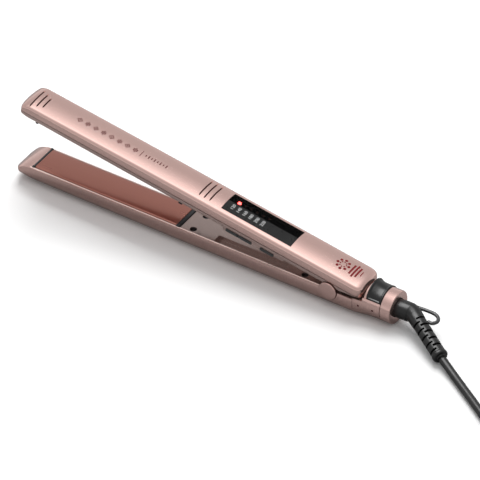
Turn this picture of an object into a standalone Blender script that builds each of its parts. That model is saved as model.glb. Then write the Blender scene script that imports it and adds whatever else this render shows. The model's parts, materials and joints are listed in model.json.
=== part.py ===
"""Hair straightener: two long arms that open about a hinge near the tail, a heated plate floating in
each arm, a control panel in the upper arm, and a mains cord that leaves through a swivel.

Shapes are written in millimetres from the hinge axis: x runs from the tips (-) to the tail (+), y across,
z up. The lower arm lies level. The upper arm is drawn closed, and its empty holds it open.
"""

import math

import bmesh
import bpy
from mathutils import Vector

MM = 0.001

# ---- driving dimensions, mm and degrees ----
OPEN_ANGLE = 9.2  # how far the arms stand apart at rest, where the tail meets its stop
TIP_X = -267.0
TAIL_X = 25.5
HALF_WIDTH = 13.8
WALL = 1.4
GAP = 0.3  # clearance between pieces that touch

LOWER_RIM = 0.8
UPPER_RIM = 4.3
MID_PLANE = 2.2  # the arms' inner parts mirror about this height
SEAM_Z = 8.0  # between the upper shell and its inner tray
CROWN_Z = 17.4
DOME_RADIUS = 38.0  # the upper arm's top is a low dome, seen from its end
SHOULDER_RADIUS = 4.0
FRONT_DROP = 1.4  # the crown is this much lower at the front
NOSE_LENGTH = 12.0
NOSE_LOWER_Z = -6.0
NOSE_POWER = 3.2  # higher is squarer, seen from above
NOSE_RISE_POWER = 2.2  # the same, seen from the side
TAIL_LENGTH = 9.5
TAIL_POWER = 4.5
TAPER_START_X = -130.0
TIP_RISE = 1.0  # the belly climbs this much towards the front
BELLY_POWER = 2.5  # higher is squarer: the lower arm's section, which becomes round at the barrel
BELLY_EXCESS = 0.04  # the belly's curve is this much too deep, and cut off flat for the arm to lie on

BARREL_RADIUS = 12.8  # the round rear body and its end ring
BARREL_Z = -2.6
FLOOR_Z = BARREL_Z - BARREL_RADIUS
RING_START_X = 42.3
RING_END_X = 50.5
BARREL_SEAM_Z = -7.6
COVER_START_X = 20.0
DECK_END_X = 27.6
DECK_Z = 1.6  # the cover is cut down to here under the upper arm's tail
BARREL_BLEND_LENGTH = 14.0
RING_BORE = 10.2
RING_FLOOR_X = 46.6
EDGE_CHAMFER = 0.9

PLATE_START_X = -252.5
PLATE_END_X = -130.0
PLATE_HALF_WIDTH = 12.0
PLATE_TOP = 2.1
PLATE_THICKNESS = 3.0
PLATE_BAY_START_X = -254.8
PLATE_BAY_END_X = -126.6
PLATE_EDGE = 0.5
HEATER = ((-236.0, -148.0), 6.0, (-1.2, -2.9))  # along, half width, height in the lower arm
HOLDER_Z = (1.7, -4.5, -5.8)  # the end bars' top, the floor's top and the floor's bottom
CUSHION_X = {"front": -245.0, "rear": -138.0}
CUSHION = (4.0, 7.0, (-1.9, -4.2))

PANEL_START_X = -97.0
PANEL_END_X = -37.6
PANEL_HALF_WIDTH = 9.3
PANEL_SINK = 0.2  # the panel lies this much below the shell's dome
PANEL_BOTTOM = 15.0
PANEL_SPLIT_Y = 0.6
LAMP_START_X = -90.6
LAMP_PITCH = 5.1
LAMP_COUNT = 6
LAMP_Y = 5.5
LAMP_HALF = 1.1
LAMP_Z = (12.3, 14.6)
BOARD_Z = (10.4, 12.0)
GROOVE_HALF = 0.5
GROOVE_DEPTH = 0.7
MID_GROOVES = {-116.3: 9.4, -111.9: 9.4, -107.5: 9.4}  # place along the arm, and half length
FRONT_GROOVES = {-260.4: 9.6, -256.3: 8.2, -252.2: 6.2}

BUMP_START_X = -91.5
BUMP_END_X = -38.5
BUMP_DEPTH = 7.3
BUMP_BOTTOM = (1.7, 3.1)  # at its front and its rear
BUTTON_SPANS = {
    "button_plus": (-88.2, -77.8),
    "button_minus": (-77.3, -66.3),
    "button_power": (-58.8, -47.5),
}
BUTTON_LOW = 2.8
BUTTON_HIGH = 4.7
BUTTON_PROUD = 0.8

PIN_RADIUS = 1.4
LUG_RADIUS = 4.5
LUG_INNER_Y = 6.4  # the upper arm's lugs lie between the lower arm's ears
LUG_OUTER_Y = 9.0
EAR_INNER_Y = 9.5
EAR_OUTER_Y = 11.6
SPRING_RADIUS = 3.1
SPRING_HALF_LENGTH = 4.8
SPRING_WIRE = 0.6
SPRING_TURNS = 4.5
CAP_RADIUS = 7.1
CAP_INNER_Y = 14.1
CAP_OUTER_Y = 14.9
SCREW_X_LOWER = (-117.5, -22.5)
SCREW_X_UPPER = (-117.5, -28.0)
SCREW_Y = 8.6
BOSS_RADIUS = 3.4
SCREW_HOLE = 1.2
SCREW_WELL = 2.6
SCREW_SHANK = 0.9
SCREW_HEAD = 2.2

SADDLE_START_X = 30.3
SADDLE_END_X = 42.0
SADDLE_HALF_ANGLE = 59.0
SADDLE_LIP = 2.6  # the thumb ridge at its front
SADDLE_REAR_LIP = 0.36
STEM_HALF_WIDTH = 1.7
STEM_X = (35.4, 38.6)
RECESS_DEPTH = 1.4

BOOT_RADIUS = 7.25
RIBBED_RADIUS = 5.4
ELBOW = (60.5, 0.0, BARREL_Z)
BOOT_END = (100.2, -23.0, -9.8)
LOOP_RADIUS = 1.35
LOOP_ROUTE = ((56.5, 9.0), (64.0, 9.0), (71.0, 9.2), (77.2, 8.6), (81.0, 5.2), (81.3, 1.6), (79.6, -0.6))

CORD_RADIUS = 3.0
COIL_CENTRE = (328.0, -50.0)
COIL_OUTER = 45.3
COIL_INNER = 20.7
COIL_BOTTOM = 0.9
COIL_TOP = 25.0
TIE_HALF_WIDTH = 4.0
TIE_THICKNESS = 0.7
PLUG_Y = 4.0
PLUG_Z = 6.9
PLUG_REAR_X = 318.0
PLUG_FRONT_X = 269.0
PLUG_PIN_Y = 9.3
PLUG_PIN_RADIUS = 2.0
PLUG_PIN_LENGTH = 19.0

HINGE_X = -(TIP_X + RING_END_X) / 2  # puts the origin under the middle of the body
HINGE_Z = -FLOOR_Z

# The cord's route where it isn't coiled, in world millimetres along its centre line.
CORD_LEAD_IN = [
    (209.2, -23.4, 5.5),
    (217.0, -27.8, 4.3),
    (227.0, -33.8, 3.3),
    (240.0, -42.0, 3.0),
    (252.0, -49.8, 3.0),
    (262.0, -56.4, 3.0),
    (272.0, -62.8, 3.0),
    (281.5, -68.8, 3.0),
]
CORD_LEAD_OUT = [
    (361.5, -12.6, 11.2),
    (356.5, -6.0, 8.6),
    (350.0, -1.0, 6.7),
    (343.0, 2.2, 5.7),
    (335.0, 3.8, 5.6),
    (326.5, 4.0, 6.3),
    (318.6, 4.0, 6.8),
]

ROSE = ((0.62, 0.40, 0.35), 0.3, 0.85)
ROSE_DARK = ((0.40, 0.25, 0.22), 0.35, 0.8)
COPPER = ((0.50, 0.24, 0.18), 0.25, 0.9)
BLACK = ((0.015, 0.015, 0.016), 0.4, 0.0)
GLOSS = ((0.01, 0.01, 0.012), 0.08, 0.0)
GREY = ((0.12, 0.12, 0.125), 0.45, 0.0)
RUBBER = ((0.02, 0.02, 0.022), 0.6, 0.0)
STEEL = ((0.6, 0.6, 0.6), 0.3, 1.0)
DARK_STEEL = ((0.08, 0.08, 0.085), 0.35, 1.0)
BRASS = ((0.7, 0.5, 0.2), 0.3, 1.0)
BOARD = ((0.02, 0.12, 0.05), 0.5, 0.0)
RED = ((0.8, 0.03, 0.02), 0.3, 0.0)
SILICONE = ((0.5, 0.5, 0.48), 0.7, 0.0)
MAROON = ((0.25, 0.04, 0.04), 0.4, 0.0)


def clear_scene():
    for obj in list(bpy.data.objects):
        bpy.data.objects.remove(obj)


def finish(name, mesh, parent, look, location=(0, 0, 0)):
    """An object of this mesh on its parent, with its own material, smooth on its round sides."""
    colour, roughness, metallic = look
    material = bpy.data.materials.new(name)
    material.use_nodes = True
    shader = material.node_tree.nodes["Principled BSDF"]
    shader.inputs["Base Color"].default_value = (*colour, 1)
    shader.inputs["Roughness"].default_value = roughness
    shader.inputs["Metallic"].default_value = metallic
    mesh.materials.append(material)
    obj = bpy.data.objects.new(name, mesh)
    bpy.context.scene.collection.objects.link(obj)
    obj.parent = parent
    obj.location = Vector(location) * MM
    if isinstance(mesh, bpy.types.Mesh):
        mesh.shade_smooth()
        mesh.set_sharp_from_angle(angle=math.radians(35))
    return obj


def empty(name, location, turn_y=0.0, parent=None):
    obj = bpy.data.objects.new(name, None)
    bpy.context.scene.collection.objects.link(obj)
    obj.parent = parent
    obj.location = Vector(location) * MM
    obj.rotation_euler.y = math.radians(turn_y)
    return obj


# ---- shapes, each a bmesh in millimetres ----


def loft(rings):
    """A closed solid through rings of equally many points, with a flat cap on each end."""
    bm = bmesh.new()
    rows = [[bm.verts.new(point) for point in ring] for ring in rings]
    for a, b in zip(rows, rows[1:]):
        for i in range(len(a)):
            j = (i + 1) % len(a)
            bm.faces.new((a[i], a[j], b[j], b[i]))
    bm.faces.new(rows[0])
    bm.faces.new(rows[-1])
    bmesh.ops.recalc_face_normals(bm, faces=bm.faces)
    return bm


def block(low, high, bevel=0.0):
    bm = bmesh.new()
    bmesh.ops.create_cube(bm, size=1)
    size = [h - l for l, h in zip(low, high)]
    middle = [(h + l) / 2 for l, h in zip(low, high)]
    for vert in bm.verts:
        vert.co = Vector([c * s + m for c, s, m in zip(vert.co, size, middle)])
    if bevel:
        bmesh.ops.bevel(bm, geom=bm.edges, offset=bevel, segments=2, affect="EDGES", profile=0.5)
    return bm


def turned(profile, axis, centre=(0, 0, 0), steps=24):
    """A solid of revolution: profile holds (along, radius) pairs, and the axis is 'x', 'y' or 'z'."""
    rings = []
    for along, radius in profile:
        ring = []
        for k in range(steps):
            turn = 2 * math.pi * k / steps
            across, up = radius * math.cos(turn), radius * math.sin(turn)
            point = {"x": (along, across, up), "y": (up, along, across), "z": (across, up, along)}[axis]
            ring.append([p + c for p, c in zip(point, centre)])
        rings.append(ring)
    return loft(rings)


def rod(axis, start, end, radius, centre=(0, 0, 0), steps=24):
    return turned([(start, radius), (end, radius)], axis, centre, steps)


def collar(axis, start, end, outer, inner, centre=(0, 0, 0), steps=32):
    """A ring of rectangular section: its profile closes on itself."""
    profile = [(start, outer), (end, outer), (end, inner), (start, inner)]
    bm = turned(profile, axis, centre, steps)
    bm.faces.ensure_lookup_table()
    caps = [face for face in bm.faces if len(face.verts) == steps]
    loops = [list(face.verts) for face in caps]
    bmesh.ops.delete(bm, geom=caps, context="FACES_ONLY")
    edges = [e for e in bm.edges if any(e.verts[0] in loop and e.verts[1] in loop for loop in loops)]
    bmesh.ops.bridge_loops(bm, edges=edges)
    bmesh.ops.recalc_face_normals(bm, faces=bm.faces)
    return bm


def joined(*shapes):
    """Several separate shapes in one bmesh, for a cutter of many holes."""
    whole = bmesh.new()
    for bm in shapes:
        mesh = bpy.data.meshes.new("shape")
        bm.to_mesh(mesh)
        whole.from_mesh(mesh)
        bpy.data.meshes.remove(mesh)
        bm.free()
    return whole


def to_mesh(name, bm):
    bmesh.ops.scale(bm, vec=(MM, MM, MM), verts=bm.verts)
    mesh = bpy.data.meshes.new(name)
    bm.to_mesh(mesh)
    bm.free()
    return mesh


def solid(name, bm, parent, look, location=(0, 0, 0)):
    return finish(name, to_mesh(name, bm), parent, look, location)


def shape_with(obj, operation, bm, label):
    """Cuts a shape from the object, or adds it. The shape stays as a hidden helper on the same parent."""
    helper = bpy.data.objects.new(f"{obj.name}_{label}", to_mesh(label, bm))
    bpy.context.scene.collection.objects.link(helper)
    helper.parent = obj.parent
    helper.location = obj.location
    helper.hide_render = True
    helper.display_type = "WIRE"
    modifier = obj.modifiers.new(label, "BOOLEAN")
    modifier.operation = operation
    modifier.object = helper


def cut(obj, label, *shapes):
    shape_with(obj, "DIFFERENCE", joined(*shapes), label)


def add(obj, label, *shapes):
    shape_with(obj, "UNION", joined(*shapes), label)


def smooth_path(points, step):
    """Points a step apart along a Catmull-Rom curve through the given points."""
    route = [Vector(p) for p in points]
    route = [2 * route[0] - route[1], *route, 2 * route[-1] - route[-2]]
    fine = []
    for a, b, c, d in zip(route, route[1:], route[2:], route[3:]):
        for k in range(40):
            t = k / 40
            square = (2 * a - 5 * b + 4 * c - d) * t**2
            cube = (3 * b - a - 3 * c + d) * t**3
            fine.append((2 * b + (c - a) * t + square + cube) / 2)
    fine.append(route[-2])
    length = sum((q - p).length for p, q in zip(fine, fine[1:]))
    count = max(2, round(length / step))
    wanted, walked, path = [length * k / count for k in range(count + 1)], 0.0, []
    for p, q in zip(fine, fine[1:]):
        piece = (q - p).length
        while wanted and wanted[0] <= walked + piece + 1e-6:
            path.append(p + (q - p) * min(1.0, (wanted.pop(0) - walked) / piece))
        walked += piece
    return path


def tube(name, points, radius, parent, look, step, sides=2):
    """A round tube along a smooth path, as a bevelled poly curve with filled caps."""
    path = smooth_path(points, step)
    curve = bpy.data.curves.new(name, "CURVE")
    curve.dimensions = "3D"
    curve.bevel_depth = radius * MM
    curve.bevel_resolution = sides
    curve.use_fill_caps = True
    spline = curve.splines.new("POLY")
    spline.points.add(len(path) - 1)
    for point, place in zip(spline.points, path):
        point.co = (*(place * MM), 1)
    return finish(name, curve, parent, look)


# ---- the arms' sections ----


def fall(share, power):
    """How much of the full size is left this share of the way into a rounded end."""
    return (1 - min(share, 1) ** power) ** (1 / power)


def within(share):
    return max(0.0, min(1.0, share))


def nose_share(x):
    """0 where the rounded nose starts, and just under 1 at the tip, which leaves a small flat there."""
    return 0.985 * max(0.0, (TIP_X + NOSE_LENGTH - x) / NOSE_LENGTH)


def tail_share(x):
    return 0.975 * max(0.0, (x - TAIL_X + TAIL_LENGTH) / TAIL_LENGTH)


def taper_share(x):
    return within((TAPER_START_X - x) / (TAPER_START_X - PLATE_START_X))


def half_width(x):
    return HALF_WIDTH * fall(nose_share(x), NOSE_POWER) * fall(tail_share(x), TAIL_POWER)


def crown_z(x):
    full = CROWN_Z - FRONT_DROP * taper_share(x) ** 1.5
    left = fall(nose_share(x), NOSE_RISE_POWER) * fall(tail_share(x), TAIL_POWER)
    return SEAM_Z + (full - SEAM_Z) * left


def dome_z(x, y):
    """The height of the upper arm's top at this place."""
    sag = DOME_RADIUS - math.sqrt(DOME_RADIUS**2 - y**2)
    return crown_z(x) - sag * (crown_z(x) - SEAM_Z) / (CROWN_Z - SEAM_Z)


def arch(inset):
    """The upper arm's section at full size, (y, z) from the +y rim to the -y one: an upright wall, a
    rounded shoulder, a low dome, and the same again."""
    shoulder, dome = SHOULDER_RADIUS - inset, DOME_RADIUS - inset
    across = HALF_WIDTH - SHOULDER_RADIUS
    edge = math.asin(across / (DOME_RADIUS - SHOULDER_RADIUS))
    dome_centre = CROWN_Z - DOME_RADIUS
    height = dome_centre + (DOME_RADIUS - SHOULDER_RADIUS) * math.cos(edge)
    half = [(HALF_WIDTH - inset, SEAM_Z)]
    for k in range(6):
        tilt = math.pi / 2 + (edge - math.pi / 2) * k / 5
        half.append((across + shoulder * math.sin(tilt), height + shoulder * math.cos(tilt)))
    for k in range(1, 4):
        tilt = edge * (1 - k / 4)
        half.append((dome * math.sin(tilt), dome_centre + dome * math.cos(tilt)))
    return [*half, (0, CROWN_Z - inset), *[(-y, z) for y, z in reversed(half)]]


def upper_ring(x, inset=0.0):
    """The upper shell's section, open to below where it is a hollow's."""
    wide = (half_width(x) - inset) / (HALF_WIDTH - inset)
    tall = (crown_z(x) - inset - SEAM_Z) / (CROWN_Z - inset - SEAM_Z)
    ring = [(x, wide * y, SEAM_Z + tall * (z - SEAM_Z)) for y, z in arch(inset)]
    if inset:
        ring[0] = (x, ring[0][1], SEAM_Z - 1)
        ring[-1] = (x, ring[-1][1], SEAM_Z - 1)
    return ring


def under_dome(start, end, y_low, y_high, bottom, sink, steps=8):
    """A slab between two places along the upper arm, whose top follows the dome at this depth below it."""
    middle = (start + end) / 2
    rings = []
    for k in range(steps + 1):
        y = y_low + (y_high - y_low) * k / steps
        top = dome_z(middle, y) - sink
        rings.append([(start, y, bottom), (end, y, bottom), (end, y, top), (start, y, top)])
    return loft(rings)


def lower_ring(x, inset=0.0, steps=16):
    """The lower shell's section: upright sides above a rounded belly with a narrow flat.
    With an inset it is the hollow's section, which runs out through the rim."""
    left = fall(nose_share(x), NOSE_RISE_POWER)
    top = NOSE_LOWER_Z + (LOWER_RIM - NOSE_LOWER_Z) * left
    low = NOSE_LOWER_Z + (FLOOR_Z + TIP_RISE * taper_share(x) - NOSE_LOWER_Z) * left
    barrel = within((x - COVER_START_X + 1) / BARREL_BLEND_LENGTH)
    wide = half_width(min(x, 0)) * (1 - barrel) + BARREL_RADIUS * barrel - inset
    power = BELLY_POWER * (1 - barrel) + 2 * barrel
    waist = min(BARREL_Z, top - 1)
    deep = (waist - low) * (1 + BELLY_EXCESS * (1 - barrel)) - inset
    rim = top + 5 if inset else top
    ring = [(x, wide, rim)]
    for k in range(steps + 1):
        turn = math.pi * k / steps
        across = math.copysign(abs(math.cos(turn)) ** (2 / power), math.cos(turn))
        down = waist - deep * math.sin(turn) ** (2 / power)
        ring.append((x, wide * across, max(down, low + inset)))
    ring.append((x, -wide, rim))
    return ring


NOSE_STATIONS = [TIP_X + NOSE_LENGTH * s for s in (0, 0.03, 0.1, 0.22, 0.4, 0.65, 1)]
TAIL_STATIONS = [TAIL_X - TAIL_LENGTH * s for s in (1, 0.6, 0.3, 0.12, 0.03, 0)]
SIDES = (-1, 1)


def corners(places):
    """The four screws' places: two along the arm, on both sides."""
    return [(x, side * SCREW_Y) for x in places for side in SIDES]


def mirrored(z):
    """The height in the closed upper arm of what lies at z in the lower one."""
    return 2 * MID_PLANE - z


def span(a, b):
    return (min(a, b), max(a, b))


# ---- parts of the arms ----


BARREL_STATIONS = [COVER_START_X - 1, 26, 33]
OUTSIDE = 20.0  # past every surface, for cutters that run out of a piece


def lower_shell(parent):
    along = [-190, TAPER_START_X, -60, 8, *BARREL_STATIONS]
    outer = [lower_ring(x) for x in (*NOSE_STATIONS, *along, RING_START_X - GAP)]
    shell = solid("lower_shell", loft(outer), parent, ROSE)
    hollow = [lower_ring(x, WALL) for x in (PLATE_BAY_START_X, *along, RING_END_X)]
    cut(shell, "hollow", loft(hollow))
    cover_bay = block(
        (COVER_START_X - GAP / 2, -OUTSIDE, BARREL_SEAM_Z - GAP / 2), (RING_END_X, OUTSIDE, OUTSIDE)
    )
    cut(shell, "openings", cover_bay, rod("y", -OUTSIDE, OUTSIDE, PIN_RADIUS + GAP))
    bosses = [
        collar("z", -11.4, -4.6, SCREW_HEAD + 0.2, SCREW_HOLE, (x, y, 0), 12)
        for x, y in corners(SCREW_X_LOWER)
    ]
    add(shell, "screw_bosses", *bosses)


def lower_inner_cover(parent):
    """The panel that closes the lower arm behind the plate, with a tub that clears the button housing."""
    low = LOWER_RIM - 1.6
    side = HALF_WIDTH - WALL - GAP
    panel = block((PLATE_BAY_END_X, -side, low), (COVER_START_X - 2 * GAP, side, LOWER_RIM))
    cover = solid("lower_inner_cover", panel, parent, ROSE_DARK)
    bosses = [
        rod("z", low - 3.2, low + 0.2, BOSS_RADIUS, (x, y, 0), 16) for x, y in corners(SCREW_X_LOWER)
    ]
    ears = [rod("y", *span(s * EAR_INNER_Y, s * EAR_OUTER_Y), LUG_RADIUS) for s in SIDES]
    tub = block((BUMP_START_X - 8.0, -side, low - 3.4), (BUMP_END_X + 2.0, -3.0, low + 0.4))
    add(cover, "ribs", tub, *bosses, *ears)
    well = [(low - 9, SCREW_HOLE), (-2.5, SCREW_HOLE), (-2.5, SCREW_WELL), (OUTSIDE, SCREW_WELL)]
    cut(cover, "wells", *[turned(well, "z", (x, y, 0), 16) for x, y in corners(SCREW_X_LOWER)])
    recess = block((BUMP_START_X - 6.5, -OUTSIDE, low - 2.0), (BUMP_END_X + 0.5, -4.4, OUTSIDE))
    lug_slot = block((-5.4, -LUG_OUTER_Y - GAP, -9), (5.4, LUG_OUTER_Y + GAP, 9))
    cut(cover, "recess", recess, lug_slot)
    cut(cover, "bore", rod("y", -OUTSIDE, OUTSIDE, PIN_RADIUS + GAP))


def upper_shell(parent):
    stations = [*NOSE_STATIONS, -190, TAPER_START_X, -60, 0, *TAIL_STATIONS]
    shell = solid("upper_shell", loft([upper_ring(x) for x in stations]), parent, ROSE)
    hollow = [TIP_X + 3, TIP_X + 6, PLATE_START_X, -190, TAPER_START_X, -60, 0, TAIL_X - 6, TAIL_X - 2.2]
    cut(shell, "hollow", loft([upper_ring(x, WALL) for x in hollow]))
    grooves = []
    for x, reach in (MID_GROOVES | FRONT_GROOVES).items():
        groove = under_dome(x - GROOVE_HALF, x + GROOVE_HALF, -reach, reach, OUTSIDE, GROOVE_DEPTH)
        grooves.append(groove)
    side = PANEL_HALF_WIDTH + GAP
    window = block((PANEL_START_X - GAP, -side, BOARD_Z[1]), (PANEL_END_X + GAP, side, OUTSIDE))
    cut(shell, "openings", window, *grooves)


def tray_ring(x):
    """The inner tray's outline at one station, from its rim to just under the shell's seam."""
    wide = half_width(x)
    top = SEAM_Z - GAP
    rim = top - (top - UPPER_RIM) * fall(nose_share(x), NOSE_RISE_POWER)
    rim += 2.7 * within((x - 8) / 12)  # the tail's underside, cut away to clear the rear cover
    return [(x, wide, rim), (x, wide, top), (x, -wide, top), (x, -wide, rim)]


def upper_tray(parent):
    """The upper arm's inner half: the plate bay, the button housing on its near side, and the hinge lugs."""
    stations = [*NOSE_STATIONS, -60, 0, 8, *TAIL_STATIONS[:-1], TAIL_X - 0.2]
    tray = solid("upper_tray", loft([tray_ring(x) for x in stations]), parent, ROSE_DARK)
    near = -HALF_WIDTH + 0.02
    front, rear = BUMP_BOTTOM
    root = UPPER_RIM + 1
    outline = [(BUMP_START_X, root), (BUMP_START_X + 1.2, front), (BUMP_END_X, rear), (BUMP_END_X, root)]
    add(tray, "bump", loft([[(x, y, z) for x, z in outline] for y in (near, near + BUMP_DEPTH)]))
    lugs = []
    lug_arms = []
    ear_slots = []
    for s in SIDES:
        low, high = span(s * LUG_INNER_Y, s * LUG_OUTER_Y)
        lugs.append(rod("y", low, high, LUG_RADIUS))
        lug_arms.append(block((-4.0, low, 0), (4.0, high, 5.4)))
        low, high = span(s * (EAR_INNER_Y - GAP + 0.1), s * (EAR_OUTER_Y + GAP))
        ear_slots.append(block((-5.4, low, 0), (5.4, high, SEAM_Z)))
    add(tray, "lugs", *lugs)
    add(tray, "lug_arms", *lug_arms)

    side = HALF_WIDTH - WALL
    rear_of_well = 10.0
    cut(tray, "bay", block((PLATE_BAY_START_X, -side, 0), (PLATE_BAY_END_X, side, OUTSIDE)))
    well = block((PLATE_BAY_END_X + 1.5, -side, UPPER_RIM + 1.5), (rear_of_well, side, OUTSIDE))
    cut(tray, "well", well)
    pocket = block(
        (BUMP_START_X + 2.6, near + WALL, 4.2), (BUMP_END_X - WALL, near + BUMP_DEPTH - WALL, OUTSIDE)
    )
    cut(tray, "pocket", pocket)
    bosses = [rod("z", 5.0, 9.5, BOSS_RADIUS, (x, y, 0), 16) for x, y in corners(SCREW_X_UPPER)]
    add(tray, "bosses", *bosses)

    rocker = (BUTTON_SPANS["button_plus"][0], BUTTON_SPANS["button_minus"][1])
    button_holes = [
        block((start - GAP, -OUTSIDE, BUTTON_LOW - GAP), (end + GAP, near + WALL + 2.4, BUTTON_HIGH + GAP))
        for start, end in (rocker, BUTTON_SPANS["button_power"])
    ]
    well = [(-5, SCREW_WELL), (8.2, SCREW_WELL), (8.2, SCREW_HOLE), (15, SCREW_HOLE)]
    wells = [turned(well, "z", (x, y, 0), 16) for x, y in corners(SCREW_X_UPPER)]
    cut(tray, "holes", *button_holes, *ear_slots, *wells)
    cut(tray, "bore", rod("y", -OUTSIDE, OUTSIDE, PIN_RADIUS + GAP))


def plate_set(prefix, z_of, arm, carrier):
    """A plate with its heater on the carrier, and the holder and cushions in the arm."""
    low, high = span(z_of(PLATE_TOP), z_of(PLATE_TOP - PLATE_THICKNESS))
    width = PLATE_HALF_WIDTH
    plate = block((PLATE_START_X, -width, low), (PLATE_END_X, width, high), PLATE_EDGE)
    solid(f"{prefix}_plate", plate, carrier, COPPER)
    (start, end), width, heights = HEATER
    low, high = span(*map(z_of, heights))
    solid(f"{prefix}_heater", block((start, -width, low), (end, width, high)), carrier, SILICONE)

    side = HALF_WIDTH - WALL - GAP
    front, rear = PLATE_BAY_START_X + GAP, PLATE_BAY_END_X - GAP
    bar_top, floor_top, floor_bottom = HOLDER_Z
    low, high = span(z_of(floor_top), z_of(floor_bottom))
    floor = block((front, -side, low), (rear, side, high))
    holder = solid(f"{prefix}_plate_holder", floor, arm, BLACK)
    low, high = span(z_of(bar_top), z_of(floor_top - 0.5))
    front_bar = block((front, -side, low), (PLATE_START_X - GAP, side, high))
    rear_bar = block((PLATE_END_X + GAP, -side, low), (rear, side, high))
    add(holder, "bars", front_bar, rear_bar)
    length, width, heights = CUSHION
    low, high = span(*map(z_of, heights))
    for place, x in CUSHION_X.items():
        cushion = block((x - length, -width, low), (x + length, width, high), 0.4)
        solid(f"{prefix}_cushion_{place}", cushion, arm, SILICONE)


def screws(prefix, places, head_low, head_high, tip, parent):
    """Four screws along z. The tip lies below the head in the lower arm, and above it in the upper one."""
    near, far = (head_high, head_low) if tip < head_low else (head_low, head_high)
    profile = [(near, SCREW_HEAD), (far, SCREW_HEAD), (far, SCREW_SHANK), (tip, SCREW_SHANK)]
    for number, (x, y) in enumerate(corners(places), 1):
        solid(f"{prefix}_screw_{number}", turned(profile, "z", (x, y, 0), 12), parent, DARK_STEEL)


def hinge(parent):
    """The pin, its two covers and the coil spring that pushes the arms apart."""
    solid("hinge_pin", rod("y", -HALF_WIDTH, HALF_WIDTH, PIN_RADIUS, steps=16), parent, STEEL)
    for name, side in (("hinge_cap_near", -1), ("hinge_cap_far", 1)):
        profile = [
            (side * CAP_INNER_Y, CAP_RADIUS),
            (side * (CAP_OUTER_Y - 0.3), CAP_RADIUS),
            (side * CAP_OUTER_Y, CAP_RADIUS - 0.5),
        ]
        solid(name, turned(profile, "y", steps=32), parent, ROSE)
    count = 46
    coil = []
    for k in range(count):
        share = k / (count - 1)
        turn = 2 * math.pi * SPRING_TURNS * share
        along = SPRING_HALF_LENGTH * (2 * share - 1)
        coil.append((SPRING_RADIUS * math.cos(turn), along, SPRING_RADIUS * math.sin(turn)))
    tube("opening_spring", coil, SPRING_WIRE, parent, STEEL, 2.0, 1)


# ---- the control panel and the buttons ----


def control_panel(parent):
    """A glossy window over a row of lamps, beside a matt strip that carries the scale."""
    side, split = PANEL_HALF_WIDTH, PANEL_SPLIT_Y
    start, end = PANEL_START_X, PANEL_END_X
    far = under_dome(start, end, split + GAP / 2, side, PANEL_BOTTOM, PANEL_SINK)
    near = under_dome(start, end, -side, split - GAP / 2, PANEL_BOTTOM, PANEL_SINK)
    solid("display_window", far, parent, GLOSS)
    solid("scale_panel", near, parent, GREY)
    low, high = BOARD_Z
    board = block((PANEL_START_X - 3, -side - 0.7, low), (PANEL_END_X + 3.6, side + 0.7, high))
    solid("control_board", board, parent, BOARD)
    low, high = LAMP_Z
    for k in range(LAMP_COUNT):
        x = LAMP_START_X + k * LAMP_PITCH
        lamp = block((x - LAMP_HALF, LAMP_Y - LAMP_HALF, low), (x + LAMP_HALF, LAMP_Y + LAMP_HALF, high))
        solid(f"lamp_{k + 1}", lamp, parent, RED)


def buttons(parent):
    """Three buttons that press inwards along y, and the board with a switch behind each."""
    board = solid("switch_board", block((-87, -9.1, 4.5), (-48, -8.1, 9.6)), parent, BOARD)
    switches = []
    for name, (start, end) in BUTTON_SPANS.items():
        x = (start + end) / 2
        axis = empty(f"{name}_axis", (x, -HALF_WIDTH, (BUTTON_LOW + BUTTON_HIGH) / 2), parent=parent)
        half = (end - start) / 2
        tall = (BUTTON_HIGH - BUTTON_LOW) / 2
        body = block((-half, -BUTTON_PROUD, -tall), (half, WALL + 1.1, tall), 0.3)
        solid(name, body, axis, GREY)
        switches.append(block((x - 1.5, -10.4, 4.6), (x + 1.5, -9.0, 6.6)))
    add(board, "switches", *switches)


# ---- the rear body, the lock slider and the swivel ----


def arc_ring(x, radius, half_angle, steps, inner):
    """A band of a circle about the barrel's axis, as one closed outline at this x."""
    ring = []
    for k in range(steps + 1):
        turn = math.radians(-half_angle + 2 * half_angle * k / steps)
        ring.append((x, radius(turn) * math.sin(turn), BARREL_Z + radius(turn) * math.cos(turn)))
    for k in range(steps, -1, -1):
        turn = math.radians(-half_angle + 2 * half_angle * k / steps)
        ring.append((x, inner * math.sin(turn), BARREL_Z + inner * math.cos(turn)))
    return ring


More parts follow.
